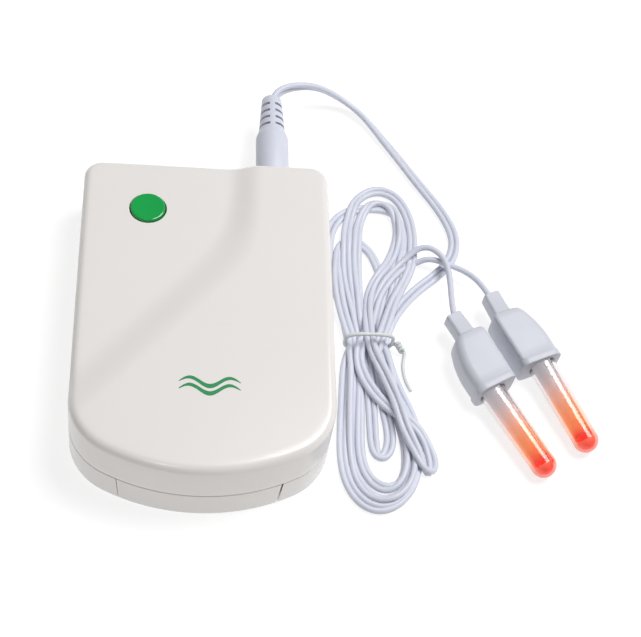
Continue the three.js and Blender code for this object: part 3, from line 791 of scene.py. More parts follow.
@dataclass
class CaseForm:
    """The outline and the top of the case, in metres, as the frame's case has them."""

    half_width: float = 0.033
    back: float = 0.049
    front: float = -0.0485
    front_radius: float = 0.0525
    side_corner: float = 0.0165
    back_corner: float = 0.005
    height: float = 0.023
    crown: float = 0.6
    crown_y: float = -0.010
    step_depth: float = 0.0022
    panel_depth: float = 0.0020
    steps: tuple[int, ...] = (44, 10, 44, 10, 44, 26, 64, 26)

    def outline(self, inset: float) -> list[tuple[float, float]]:
        """Stations of the plan, moved inwards.

        Args:
            inset: How far in.

        Returns:
            The same number of (x, y) stations for every inset.
        """
        half, back = self.half_width - inset, self.back - inset
        round_back = max(self.back_corner - inset, 0.0005)
        front_y = self.front + self.front_radius
        corner_x = self.half_width - self.side_corner
        reach = self.front_radius - self.side_corner
        corner_y = front_y - math.sqrt(reach**2 - corner_x**2)
        join = math.degrees(math.atan2(corner_y - front_y, corner_x))
        right, left = half - round_back, round_back - half
        shoulder = back - round_back
        curves: list[Callable[[float], tuple[float, float]]] = [
            lambda t: (half, corner_y + (shoulder - corner_y) * t),
            lambda t: self._on((right, shoulder), round_back, 90 * t),
            lambda t: (right + (left - right) * t, back),
            lambda t: self._on((left, shoulder), round_back, 90 + 90 * t),
            lambda t: (-half, shoulder + (corner_y - shoulder) * t),
            lambda t: self._on((-corner_x, corner_y), self.side_corner - inset, 180 - join * t),
            lambda t: self._on((0, front_y), self.front_radius - inset, 180 - join + (180 + 2 * join) * t),
            lambda t: self._on((corner_x, corner_y), self.side_corner - inset, join * (1 - t)),
        ]
        return [curve(k / n) for curve, n in zip(curves, self.steps) for k in range(n)]

    @staticmethod
    def _on(centre: tuple[float, float], radius: float, degrees: float) -> tuple[float, float]:
        """A point on a circle."""
        a = math.radians(degrees)
        return centre[0] + radius * math.cos(a), centre[1] + radius * math.sin(a)

    @property
    def count(self) -> int:
        """How many stations an outline has."""
        return sum(self.steps)

    @staticmethod
    def soft_min(a: float, b: float, blend: float) -> float:
        """The smaller of two values, rounded where they meet."""
        return 0.5 * (a + b - math.hypot(a - b, blend))

    def ridge(self, y: float) -> float:
        """Where the swoosh's ridge stands at a given y."""
        return self.soft_min(0.015, y / 1.14 + 0.0005, 0.006)

    def valley(self, y: float) -> float:
        """Where the swoosh's valley lies at a given y."""
        return self.soft_min(0.007, (y - 0.017) / 1.16, 0.008)

    def top(self, x: float, y: float) -> float:
        """The height of the top.

        Args:
            x: Place across the case.
            y: Place along the case.

        Returns:
            The height above the table.
        """
        crown = self.height - self.crown * (y - self.crown_y) ** 2
        rise = min(max((x - self.valley(y)) / (self.ridge(y) - self.valley(y)), 0.0), 1.0)
        panel = min(max((self.valley(y) - x) / 0.020, 0.0), 1.0)
        drop = self.step_depth + (self.panel_depth - self.step_depth) * panel
        return crown - drop * (1 - rise * rise * (3 - 2 * rise))

    def ring(self, inset: float, height: float | Callable[[float, float], float],
             share: float = 1.0) -> list[Point]:
        """One ring of the case.

        Args:
            inset: How far in from the outline.
            height: A height, or a rule that gives it from x and y.
            share: How far out from the middle, from 0 to 1.

        Returns:
            The ring's stations.
        """
        flat = [(x * share, y * share) for x, y in self.outline(inset)]
        return [(x, y, height(x, y) if callable(height) else height) for x, y in flat]


@dataclass
class Case:
    """Upper cover, lower case, battery door and the printed mark."""

    form: CaseForm = field(default_factory=CaseForm)
    seam: float = 0.010
    seam_gap: float = 0.0001
    ledge: float = 0.00006
    wall: float = 0.0018
    floor: float = 0.0016
    roof: float = 0.0014
    fillet: float = 0.0021
    fillet_steps: int = 8
    foot_fillet: float = 0.0014
    door_half: float = 0.0195
    door_back: float = -0.005
    door_gap: float = 0.0003
    door_recess: float = 0.0003
    door_flare: float = 1.045
    door_play: float = 0.00016
    button: tuple[float, float] = (-0.0156, 0.0322)
    button_radius: float = 0.00465
    jack: tuple[float, float] = (0.0186, 0.011)

    def upper_cover(self) -> Obj:
        """The upper shell with its swoosh, button hole and jack notch."""
        form, top, r = self.form, self.form.top, self.fillet
        skin = RingForm("upper_shell", form.count)
        for share in (0.02, 0.25, 0.5, 0.75, 1.0):
            skin.ring(form.ring(self.wall + 0.0006, lambda x, y: top(x, y) - self.roof, share))
        skin.ring(form.ring(self.wall, lambda x, y: top(x, y) - self.roof - 0.0014))
        skin.ring(form.ring(self.wall, self.seam))
        skin.ring(form.ring(self.ledge, self.seam))
        skin.ring(form.ring(self.ledge, self.seam + 0.0002))
        skin.ring(form.ring(self.ledge * 0.3, self.seam + 0.0006))
        skin.ring(form.ring(0.0, self.seam + 0.0010))
        skin.ring(form.ring(0.0, self.seam + 0.0024))
        for step in range(self.fillet_steps + 1):
            angle = math.radians(90 * step / self.fillet_steps)
            inset = r * (1 - math.cos(angle))
            sink = r * (1 - math.sin(angle))
            skin.ring(form.ring(inset, lambda x, y, d=sink: top(x, y) - d))
        for step in range(31, 0, -1):
            skin.ring(form.ring(r, top, step / 32))
        shell = skin.close()
        self._cut_button_hole(shell)
        self._cut_jack_hole(shell)
        return shell

    def _cut_button_hole(self, shell: Obj) -> None:
        """Cuts the hole that the button stands in, with a small round lip."""
        x, y = self.button
        brim = self.form.top(x, y)
        hole = self.button_radius + 0.0003
        lip = 0.00028
        profile = [(hole, brim - 0.004), (hole, brim - lip)]
        profile += [(hole + lip - a, b) for a, b in arc((0, brim - lip), lip, 0, 90, 4)][1:]
        profile += [(hole + lip * 1.6, brim + 0.001)]
        cutter = settle(turned("button_cutter", profile, count=96), Matrix.Translation((x, y, 0)))
        combine(shell, cutter, "DIFFERENCE")

    def _cut_jack_hole(self, shell: Obj) -> None:
        """Cuts the round hole that the jack's bushing stands in."""
        x, z = self.jack
        back = self.form.back
        profile = [(0.0033, back - 0.005), (0.0033, back - 0.0002), (0.0036, back + 0.0001),
                   (0.0036, back + 0.001)]
        cutter = settle(turned("jack_cutter", profile, "Y"), Matrix.Translation((x, 0, z)))
        combine(shell, cutter, "DIFFERENCE")

    def tray(self, name: str) -> Obj:
        """The whole lower tray, before the doorway is cut.

        Args:
            name: The object's name.

        Returns:
            The tray.
        """
        form, r = self.form, self.foot_fillet
        rim = self.seam - self.seam_gap
        skin = RingForm(name, form.count)
        skin.ring(form.ring(r, 0.0))
        for a, b in arc((0, r), r, -90, 0, 6)[1:]:
            skin.ring(form.ring(r - a, b))
        skin.ring(form.ring(0.0, rim - 0.00034))
        skin.ring(form.ring(0.00006, rim - 0.00024))
        skin.ring(form.ring(0.00030, rim))
        skin.ring(form.ring(self.wall, rim))
        skin.ring(form.ring(self.wall, self.floor + 0.0008))
        skin.ring(form.ring(self.wall + 0.0008, self.floor))
        return skin.close()

    def lower_case(self) -> Obj:
        """The lower shell with its doorway, bosses, board posts, ribs and counterbores."""
        shell = self.tray("lower_shell")
        rim = self.seam - self.seam_gap
        reach = self.door_half + self.door_gap
        doorway = block("doorway", (-reach, -0.06, -0.0005), (reach, self.door_back + self.door_gap, 0.0105),
                        self.door_flare)
        combine(shell, doorway, "DIFFERENCE")
        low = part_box("lower_case")[0].z
        boss = [(0.0034, self.floor / 2), (0.0034, rim - 0.0003), (0.0031, rim)]
        post = [(0.0024, self.floor / 2), (0.0021, 0.0061)]
        self._at_screws(shell, "case_screw", 4, boss, 40, "UNION")
        self._at_screws(shell, "board_screw", 3, post, 32, "UNION")
        for side in (-1, 1):
            x = side * (self.door_half + 0.0014)
            rib = block("rib", (x - 0.0006, -0.037, self.floor / 2), (x + 0.0006, 0.009, rim - 0.001))
            combine(shell, rib, "UNION")
        well = [(0.0031, low - 0.001), (0.0027, low + 0.0004), (0.0027, 0.005), (0.0014, 0.005), (0.0014, 0.012)]
        pilot = [(0.00105, self.floor + 0.0006), (0.00105, 0.012)]
        self._at_screws(shell, "case_screw", 4, well, 40, "DIFFERENCE")
        self._at_screws(shell, "board_screw", 3, pilot, 24, "DIFFERENCE")
        self._cut_jack_hole(shell)
        return shell

    @staticmethod
    def _at_screws(shell: Obj, family: str, number: int, profile: Sequence[tuple[float, float]],
                   sides: int, operation: str) -> None:
        """Adds or cuts one turned shape at every screw of a family.

        Args:
            shell: The shell to change.
            family: The start of the screws' node names.
            number: How many screws there are.
            profile: The shape's radii and heights.
            sides: Stations round it.
            operation: UNION or DIFFERENCE.
        """
        for index in range(1, number + 1):
            low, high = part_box(f"{family}_{index}")
            centre = (low + high) / 2
            tool = settle(turned("tool", profile, count=sides), Matrix.Translation((centre.x, centre.y, 0)))
            combine(shell, tool, operation)

    def battery_door(self) -> Obj:
        """The door: the tray's stretch of floor and front wall, with ribs to push on and two tongues."""
        door = self.tray("door_panel")
        play = self.door_play
        room = block("door_room", (-self.door_half - play, -0.06, -0.0005),
                     (self.door_half - play, self.door_back, 0.0105), self.door_flare)
        combine(door, room, "INTERSECT")
        combine(door, block("door_foot", (-0.03, -0.06, -0.001), (0.03, 0.0, self.door_recess)), "DIFFERENCE")
        for step in range(5):
            y = -0.030 + 0.0022 * step
            groove = turned("groove", [(0.0005, -0.006), (0.0005, 0.006)], count=16)
            matrix = Matrix.Translation((0, y, self.door_recess)) @ Matrix.Rotation(math.pi / 2, 4, "Y")
            combine(door, settle(groove, matrix), "DIFFERENCE")
        for x in (-0.0165, 0.0165):
            riser = block("riser", (x - 0.002, self.door_back - 0.0025, self.floor - 0.0004),
                          (x + 0.002, self.door_back - 0.0005, self.floor + 0.0015))
            combine(door, riser, "UNION")
            tongue = block("tongue", (x - 0.002, self.door_back - 0.001, self.floor + 0.0003),
                           (x + 0.002, self.door_back + 0.003, self.floor + 0.0015))
            combine(door, tongue, "UNION")
        return door

    def mark(self) -> Obj:
        """A plain printed mark of two short waves, in place of any name."""
        clear_selection()
        length, width, lift = 0.0152, 0.00062, 0.00004
        columns, rows = 60, 2
        bpy.ops.mesh.primitive_grid_add(x_subdivisions=columns, y_subdivisions=rows, size=1)
        strip = bpy.context.object
        strip.name = "printed_mark"
        for vertex in strip.data.vertices:
            t = vertex.co.x + 0.5
            taper = math.sin(math.pi * min(max(t, 0.02), 0.98)) ** 0.5
            across = vertex.co.y * width * 2 * taper
            wave = 0.0012 * math.sin(2 * math.pi * 1.5 * t)
            vertex.co = (0.0014 + (t - 0.5) * length, -0.0236 + wave + across, 0)
        pick(strip)
        bpy.ops.object.mode_set(mode="EDIT")
        bpy.ops.mesh.select_all(action="SELECT")
        bpy.ops.mesh.duplicate_move(TRANSFORM_OT_translate={"value": (0.0, -0.0021, 0.0)})
        bpy.ops.object.mode_set(mode="OBJECT")
        for vertex in strip.data.vertices:
            vertex.co.z = self.form.top(vertex.co.x, vertex.co.y) + lift
        bpy.ops.object.mode_set(mode="EDIT")
        bpy.ops.mesh.select_all(action="SELECT")
        bpy.ops.mesh.extrude_region_move(TRANSFORM_OT_translate={"value": (0, 0, -2 * lift)})
        bpy.ops.mesh.select_all(action="SELECT")
        bpy.ops.mesh.normals_make_consistent(inside=False)
        bpy.ops.object.mode_set(mode="OBJECT")
        return strip

    def power_button(self) -> Obj:
        """The push button: a glossy cap with a rolled rim and a faint dish, a flange and a stem."""
        x, y = self.button
        top = self.form.top(x, y) + 0.00055
        flange = self.form.top(x, y) - self.roof - 0.0009
        r, roll = self.button_radius, 0.00045
        profile = [(0.0016, 0.0149), (0.0016, flange - 0.0009), (0.0058, flange - 0.0009), (0.0058, flange),
                   (r, flange)]
        profile += arc((r - roll, top - roll), roll, 0, 90, 6)
        profile += [(r - roll - 0.0006, top - 0.00004), (r * 0.6, top - 0.00011), (r * 0.3, top - 0.00015),
                    (0.0001, top - 0.00016)]
        return settle(turned("button_cap", profile, count=96), Matrix.Translation((x, y, 0)))

    def build(self) -> list[Obj]:
        """Makes and dresses every case piece."""
        pieces = []
        for maker, finish, slot, body, angle in (
                (self.upper_cover, CASE_WHITE, Slot.CASE, Body.CASE, 24),
                (self.lower_case, CASE_WHITE, Slot.CASE, Body.CASE, 24),
                (self.battery_door, CASE_WHITE, Slot.CASE, Body.DOOR, 24),
                (self.power_button, BUTTON_GREEN, Slot.BUTTON, Body.BUTTON, 32)):
            pieces.append(finish_piece(maker(), finish, body, angle))
            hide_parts(maker.__name__)
        pieces.append(finish_piece(self.mark(), PRINT_GREEN, Body.CASE))
        return pieces


# --------------------------------------------------------------------------- plug


@dataclass
class Plug:
    """The moulded plug with its slotted strain relief, and its pin."""

    x: float = 0.0186
    z: float = 0.011
    start: float = 0.0493
    shoulder: float = 0.0666
    relief: float = 0.0686
    end: float = 0.081
    radius: float = 0.00465
    bore: float = 0.00205

    def overmould(self) -> Obj:
        """The grip and strain relief, bored for the pin and slotted on both sides."""
        r = self.radius
        profile = [(self.bore, self.start + 0.0046), (self.bore, self.start)]
        profile += arc((r - 0.0004, self.start + 0.0004), 0.0004, -90, 0, 3)
        profile += [(r - 0.00005, self.shoulder - 0.0010), (r - 0.00016, self.shoulder - 0.0003),
                    (r - 0.00042, self.shoulder + 0.0003), (0.00382, self.relief - 0.0003),
                    (0.0037, self.relief + 0.0002), (0.00285, self.end - 0.0007),
                    (0.00272, self.end - 0.0003), (0.0024, self.end), (0.0006, self.end)]
        body = turned("plug_grip", profile, "Y", 72)
        for row in range(4):
            y = self.relief + 0.0004 + 0.00265 * row
            for side in (-1, 1):
                inner, outer = sorted((side * 0.00075, side * 0.0042))
                slot = block("slit", (inner, y, -0.0042), (outer, y + 0.0009, 0.0042))
                combine(body, slot, "DIFFERENCE")
        return settle(body, Matrix.Translation((self.x, 0, self.z)))

    def build(self) -> Obj:
        """Makes and dresses the plug."""
        body = finish_piece(self.overmould(), LEAD_WHITE, Body.PLUG)
        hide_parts("plug_body")
        return body


# --------------------------------------------------------------------------- probes


@dataclass
class Probe:
    """One light probe: handle, clear tube, light sleeve and tip lamp.

    Its own axis is Y: the tube points to -Y, the flange face is at y = 0, and the neck is at +Y.

    Attributes:
        belly: Stations of the bulging side: place along the axis, and how far out it is.
        flange: The flange's rings: place along the axis, inset, and corner radii on the two sides.
    """

    name: str
    at: tuple[float, float]
    heading: float
    flat_side: int
    half_height: float = 0.0049
    tube_base: float = 0.00375
    tube_tip: float = 0.00335
    visible: float = 0.0271
    insert: float = 0.0032
    wall: float = 0.0008
    length: float = 0.0246
    neck_offset: float = 0.003
    neck_start: float = 0.0174
    sleeve_end: float = -0.0229
    belly: tuple[tuple[float, float], ...] = (
        (0.0162, -0.0022), (0.0150, -0.0028), (0.0124, -0.0038), (0.0096, -0.0045), (0.0070, -0.0049),
        (0.0045, -0.0050), (0.0022, -0.0050))
    flange: tuple[tuple[float, float, float, float], ...] = (
        (0.0020, 0.0003, 0.0026, 0.0015), (0.0019, 0.0001, 0.0028, 0.0020), (0.0016, 0.0, 0.0030, 0.0022),
        (0.0003, 0.0, 0.0030, 0.0022), (0.0001, 0.0001, 0.0029, 0.0021), (0.0, 0.0003, 0.0028, 0.0020))

    @property
    def tip_centre(self) -> float:
        """How far ahead of the flange the tip's round centre is."""
        return self.visible - self.tube_tip

    @property
    def matrix(self) -> Matrix:
        """Where the probe lies: on its flange's lower edge and its tip."""
        tilt = math.atan2(self.half_height, self.tip_centre) - math.asin(
            self.tube_tip / math.hypot(self.half_height, self.tip_centre))
        lift = self.half_height * math.cos(tilt) + 0.00001
        return (Matrix.Translation((*self.at, lift))
                @ Matrix.Rotation(math.radians(self.heading + 90), 4, "Z")
                @ Matrix.Rotation(tilt, 4, "X"))

    def _section(self, y: float, low: float, high: float, half: float, corner: float,
                 flat_corner: float | None = None) -> list[Point]:
        """A rounded box section across the probe.

        Args:
            y: Its place along the axis.
            low: Its edge on the bulging side.
            high: Its edge on the flat side.
            half: Half its thickness.
            corner: The radius of its corners.
            flat_corner: The radius of those on the flat side, if it is another one.

        Returns:
            The section's stations.
        """
        per_corner = 14
        sharp = flat_corner or corner
        points = []
        for quarter, (cx, cz, r) in enumerate((
                (high - sharp, half - sharp, sharp), (low + corner, half - corner, corner),
                (low + corner, corner - half, corner), (high - sharp, sharp - half, sharp))):
            for k in range(per_corner):
                a = math.radians(90 * (quarter + (k + 0.5) / per_corner))
                points.append((self.flat_side * (cx + r * math.cos(a)), y, cz + r * math.sin(a)))
        return points

    def _disc(self, y: float, radius: float, centre: float = 0.0) -> list[Point]:
        """A round section across the probe."""
        return self._section(y, centre - radius, centre + radius, radius, radius)

    def handle(self) -> Obj:
        """The moulded handle: lead bore, neck, shoulders, one flat and one bulging side, and flange."""
        form = RingForm(f"{self.name}_grip", 56)
        off, neck, end = self.neck_offset, self.neck_start, self.length
        form.ring(self._disc(end - 0.0045, 0.00095, off))
        form.ring(self._disc(end, 0.00095, off))
        for y, half, thick, corner in ((end, 0.0020, 0.0020, 0.0006), (end - 0.0003, 0.0023, 0.0023, 0.0008),
                                       (neck + 0.0012, 0.0024, 0.0024, 0.0008),
                                       (neck + 0.0003, 0.0026, 0.0027, 0.0010),
                                       (neck, 0.0029, 0.0031, 0.0012)):
            form.ring(self._section(y, off - half, off + half, thick, corner))
        form.ring(self._section(neck - 0.0001, -0.0004, 0.0060, 0.0038, 0.0015, 0.0010))
        form.ring(self._section(neck - 0.0004, -0.0014, 0.0067, 0.0042, 0.0021, 0.0011))
        for y, low in self.belly:
            flat = 0.0064 + 0.0007 * min(y / 0.014, 1.0)
            form.ring(self._section(y, low, flat, 0.0045, 0.0025, 0.0011))
        for y, inset, corner, flat_corner in self.flange:
            form.ring(self._section(y, inset - 0.0054, 0.0068 - inset, 0.0049 - inset, corner, flat_corner))
        socket, socket_end = self.tube_base + 0.00006, self.insert + 0.0002
        for y, radius in ((0.0, socket), (socket_end, socket), (socket_end, 0.0022), (0.0103, 0.0022)):
            form.ring(self._disc(y, radius))
        return settle(form.close(), self.matrix)

    def tube(self) -> Obj:
        """The clear tube, open at its root and round at its tip, with a true wall."""
        tip, inner_tip = self.tube_tip, self.tube_tip - self.wall
        centre = -self.tip_centre
        profile = [(inner_tip * math.cos(math.radians(a)) + 0.00002,
                    centre - inner_tip * math.sin(math.radians(a))) for a in range(90, -1, -10)]
        rows = 20
        inner, outer = [], []
        for k in range(rows + 1):
            y = centre + (self.insert - centre) * k / rows
            radius = tip + (self.tube_base - tip) * k / rows
            inner.append((radius - self.wall, y))
            outer.append((radius, y))
        profile += inner[1:] + outer[:0:-1]
        profile += [(tip * math.cos(math.radians(a)) + 0.00002,
                     centre - tip * math.sin(math.radians(a))) for a in range(0, 91, 10)]
        tube = turned(f"{self.name}_clear", profile, "Y", 72)
        self._mark_along(tube, self.insert, -self.visible)
        return settle(tube, self.matrix)

    def sleeve(self) -> Obj:
        """The thin translucent sleeve inside the tube, which carries the glow."""
        root, end = self.insert - 0.0002, self.sleeve_end
        sides, steps = 48, 24
        form = RingForm(f"{self.name}_light_sleeve", sides)
        outside = [(0.00242 + 0.00038 * k / steps, end + (root - end) * k / steps) for k in range(steps + 1)]
        inside = [(radius - 0.0004, y) for radius, y in reversed(outside)]
        for radius, y in [*outside, *inside, outside[0]]:
            form.ring(around(radius, y, sides))
        sleeve = form.join_ends()
        self._mark_along(sleeve, root, end)
        return settle(sleeve, self.matrix)

    @staticmethod
    def _mark_along(obj: Obj, root: float, tip: float) -> None:
        """Writes attribute "along" on a piece that still lies on its own axis.

        Args:
            obj: The piece.
            root: The y where it is 0.
            tip: The y where it is 1.
        """
        layer = obj.data.attributes.new("along", "FLOAT", "POINT")
        for index, vertex in enumerate(obj.data.vertices):
            layer.data[index].value = min(max((vertex.co.y - root) / (tip - root), 0.0), 1.0)

    def lamp(self) -> Obj:
        """The small red lamp at the tip, with a flat rim and a domed lens."""
        rim, foot = -0.0202, -0.0194
        profile = [(0.0018, foot), (0.0018, rim), (0.0015, rim), (0.0015, rim - 0.0018)]
        profile += [(0.0015 * math.cos(math.radians(a)) + 0.00001,
                     rim - 0.0018 - 0.0015 * math.sin(math.radians(a))) for a in range(15, 91, 15)]
        lamp = turned(f"{self.name}_lamp", profile, "Y", 40)
        self._mark_along(lamp, foot, rim - 0.0033)
        return settle(lamp, self.matrix)

    def build(self) -> list[Obj]:
        """Makes and dresses the probe."""
        pieces = []
        for maker, finish, slot, node in ((self.handle, GRIP_WHITE, Slot.LEAD, "handle"),
                                          (self.tube, CLEAR_TUBE, Slot.CLEAR, "tube"),
                                          (self.sleeve, SLEEVE_GLOW, Slot.GLOW, "sleeve"),
                                          (self.lamp, LED_GLOW, Slot.LED, "led")):
            piece = finish_piece(maker(), finish, Body.CASE, 30)
            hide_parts(f"{self.name}_probe_{node}")
            pieces.append(piece)
        return pieces


# --------------------------------------------------------------------------- leads


@dataclass(frozen=True)
class Bight:
    """One loop of the hank: a stretch out of the tie, round, and back, in millimetres on the table.

    Attributes:
        plan: Its (x, y) points, from the left of the tie to the right.
        level: How high it lies in the pile before it settles.
    """

    plan: tuple[tuple[float, float], ...]
    level: float


# The plug end: out of the strain relief, down to the table and round to the hank.
TWIN_ROUTE_MM = (
    (18.6, 79.0, 11), (18.65, 80.4, 11), (18.9, 81.9, 11), (19.6, 83.4, 11), (21, 85, 11), (23.2, 86.5, 10.7),
    (26.2, 88, 10.1), (29.8, 89.3, 9), (33.4, 90.1, 7.6), (37.3, 90.1, 5.3), (41.7, 89.2, 2.9),
    (47.3, 84.4, 1.7), (52.7, 76.1, 1.0), (57.1, 69.1, 0.9), (60.9, 62.6, 0.9), (67.5, 51.9, 0.9),
    (70.5, 45.1, 0.9), (71.4, 40.5, 0.9), (70.4, 35.2, 0.9), (67.5, 30.5, 0.9), (63.4, 26.4, 0.9),
    (59.2, 22.6, 1.0), (54, 16, 1.4), (50, 8, 2.0),
)

UPPER = (
    Bight(((40.6, 8), (38.3, 16.5), (36.6, 24), (35.3, 31), (34.8, 38), (35.2, 43.5), (37.6, 47.6),
           (42, 50), (47, 51.6), (52, 52), (55.4, 49.5), (57, 44.5), (56.8, 38), (55, 29.5), (52, 19),
           (49, 8)), 0),
    Bight(((40.5, 7), (38.5, 16), (36.5, 24), (35.8, 29), (36.3, 34), (39, 38.5), (42, 40), (45, 39),
           (47.5, 35), (49, 31), (50, 24.5), (49.5, 16), (48, 8)), 1),
    Bight(((42, 7), (41, 18.5), (40, 30), (39.7, 37), (40.8, 46.5), (43.8, 55), (49.3, 59), (55.2, 57),
           (58.3, 50), (59.3, 43.5), (59, 37), (57.5, 30), (54, 20.5), (50.5, 11), (49.4, 7)), 2.4),
    Bight(((42.8, 7), (42.5, 17.5), (42.2, 26), (42.2, 35), (43.2, 44), (45.5, 51.3), (49.5, 54.3),
           (53.7, 52.3), (56, 45), (55.5, 38.5), (52.5, 31), (48, 26), (45.3, 19), (44.4, 7)), 3.6),
)

LOWER = (
    Bight(((40.2, 2), (39.5, -6.5), (37.9, -21.5), (37.1, -32), (38.5, -41), (44, -47), (50, -45), (54.5, -39.5),
           (57, -31), (56, -23), (53.5, -14.5), (51, -6), (49.4, 2)), 0),
    Bight(((40.5, 2), (39.5, -11.5), (38.6, -24), (38.6, -34.5), (42, -42), (47.5, -45), (52.5, -41.5),
           (55.5, -35), (55, -25.5), (52, -15), (49.8, -4.5), (48.8, 2)), 1),
    Bight(((42, 2), (41.3, -11.5), (41, -24.5), (41, -32.5), (44, -39), (49, -41), (53, -38.5), (55, -32),
           (54, -24), (52, -15.5), (50, -4.5), (48, 2)), 2),
    Bight(((45, 2), (45, -11.5), (45, -24.5), (44.7, -31), (46.5, -33.5), (49, -31), (50, -25.5), (50, -19),
           (49, -11.5), (47.8, -3), (47, 2)), 2.6),
    Bight(((40.4, 2), (41.5, -4), (45, -12), (50.5, -17.5), (56.4, -22.5), (60.2, -29.5), (61.2, -33.8),
           (60.4, -37), (58, -37.2), (56.3, -34), (54.6, -27), (52.2, -18), (50.3, -8.5), (45.4, 2)), 3.6),
)

LAST_RUN_MM = ((46, 7, 6.8), (47.3, 17.5, 7), (50.3, 25, 7), (53.3, 28.8, 6.6), (56, 31.5, 5.8))

PROBE_ROUTES_MM = {
    "left": ((58.2, 33.9, 5.6), (60.6, 35.5, 5.2), (62.3, 35.3, 5.2), (65.5, 33.2, 5.5), (67.5, 29.7, 5.4),
             (68.1, 25.5, 5), (68.1, 21.5, 5), (68.0, 17.5, 5.4), (67.9, 13.7, 6.0), (68.0, 10, 6.4),
             (68.9, 7.8, 6.3)),
    "right": ((57.8, 32.0, 4.8), (60.3, 32.5, 4.1), (63.8, 32.1, 3.7), (67.1, 30.5, 3.6), (71, 29, 3.7),
              (74.5, 26.3, 4.4), (76.6, 22.6, 5.4), (77.8, 19.7, 6.1), (78.9, 16.8, 6.45),
              (79.8, 14.8, 6.3)),
}


def smooth_line(points: Iterable[Sequence[float]], spacing: float) -> np.ndarray:
    """Runs a Catmull-Rom line through points and spaces it evenly.

    Args:
        points: The points it passes.
        spacing: The wanted distance between the new points.

    Returns:
        The evenly spaced points.
    """
    p = np.array(list(points), float)
    p = np.vstack([2 * p[0] - p[1], p, 2 * p[-1] - p[-2]])
    fine = []
    for a, b, c, d in zip(p, p[1:], p[2:], p[3:]):
        t = np.linspace(0, 1, 24, endpoint=False)[:, None]
        fine.append(0.5 * (2 * b + (c - a) * t + (2 * a - 5 * b + 4 * c - d) * t**2
                           + (3 * b - a - 3 * c + d) * t**3))
    fine = np.vstack(fine + [p[-2:-1]])
    run = np.concatenate([[0], np.cumsum(np.linalg.norm(np.diff(fine, axis=0), axis=1))])
    even = np.linspace(0, run[-1], max(int(round(run[-1] / spacing)), 2) + 1)
    return np.column_stack([np.interp(even, run, fine[:, k]) for k in range(3)])


def swept(name: str, line: np.ndarray, radius: float, resolution: int) -> Obj:
    """Sweeps a circle along a line.

    Args:
        name: The object's name.
        line: The points that it follows.
        radius: The circle's radius.
        resolution: How finely the circle is divided.

    Returns:
        The mesh, with closed ends.
    """
    curve = bpy.data.curves.new(name, "CURVE")
    curve.dimensions = "3D"
    curve.bevel_depth = radius
    curve.bevel_resolution = resolution
    curve.use_fill_caps = True
    spline = curve.splines.new("POLY")
    spline.points.add(len(line) - 1)
    spline.points.foreach_set("co", np.column_stack([line, np.ones(len(line))]).ravel())
    pick(link(bpy.data.objects.new(name, curve)))
    bpy.ops.object.convert(target="MESH")
    return bpy.context.object


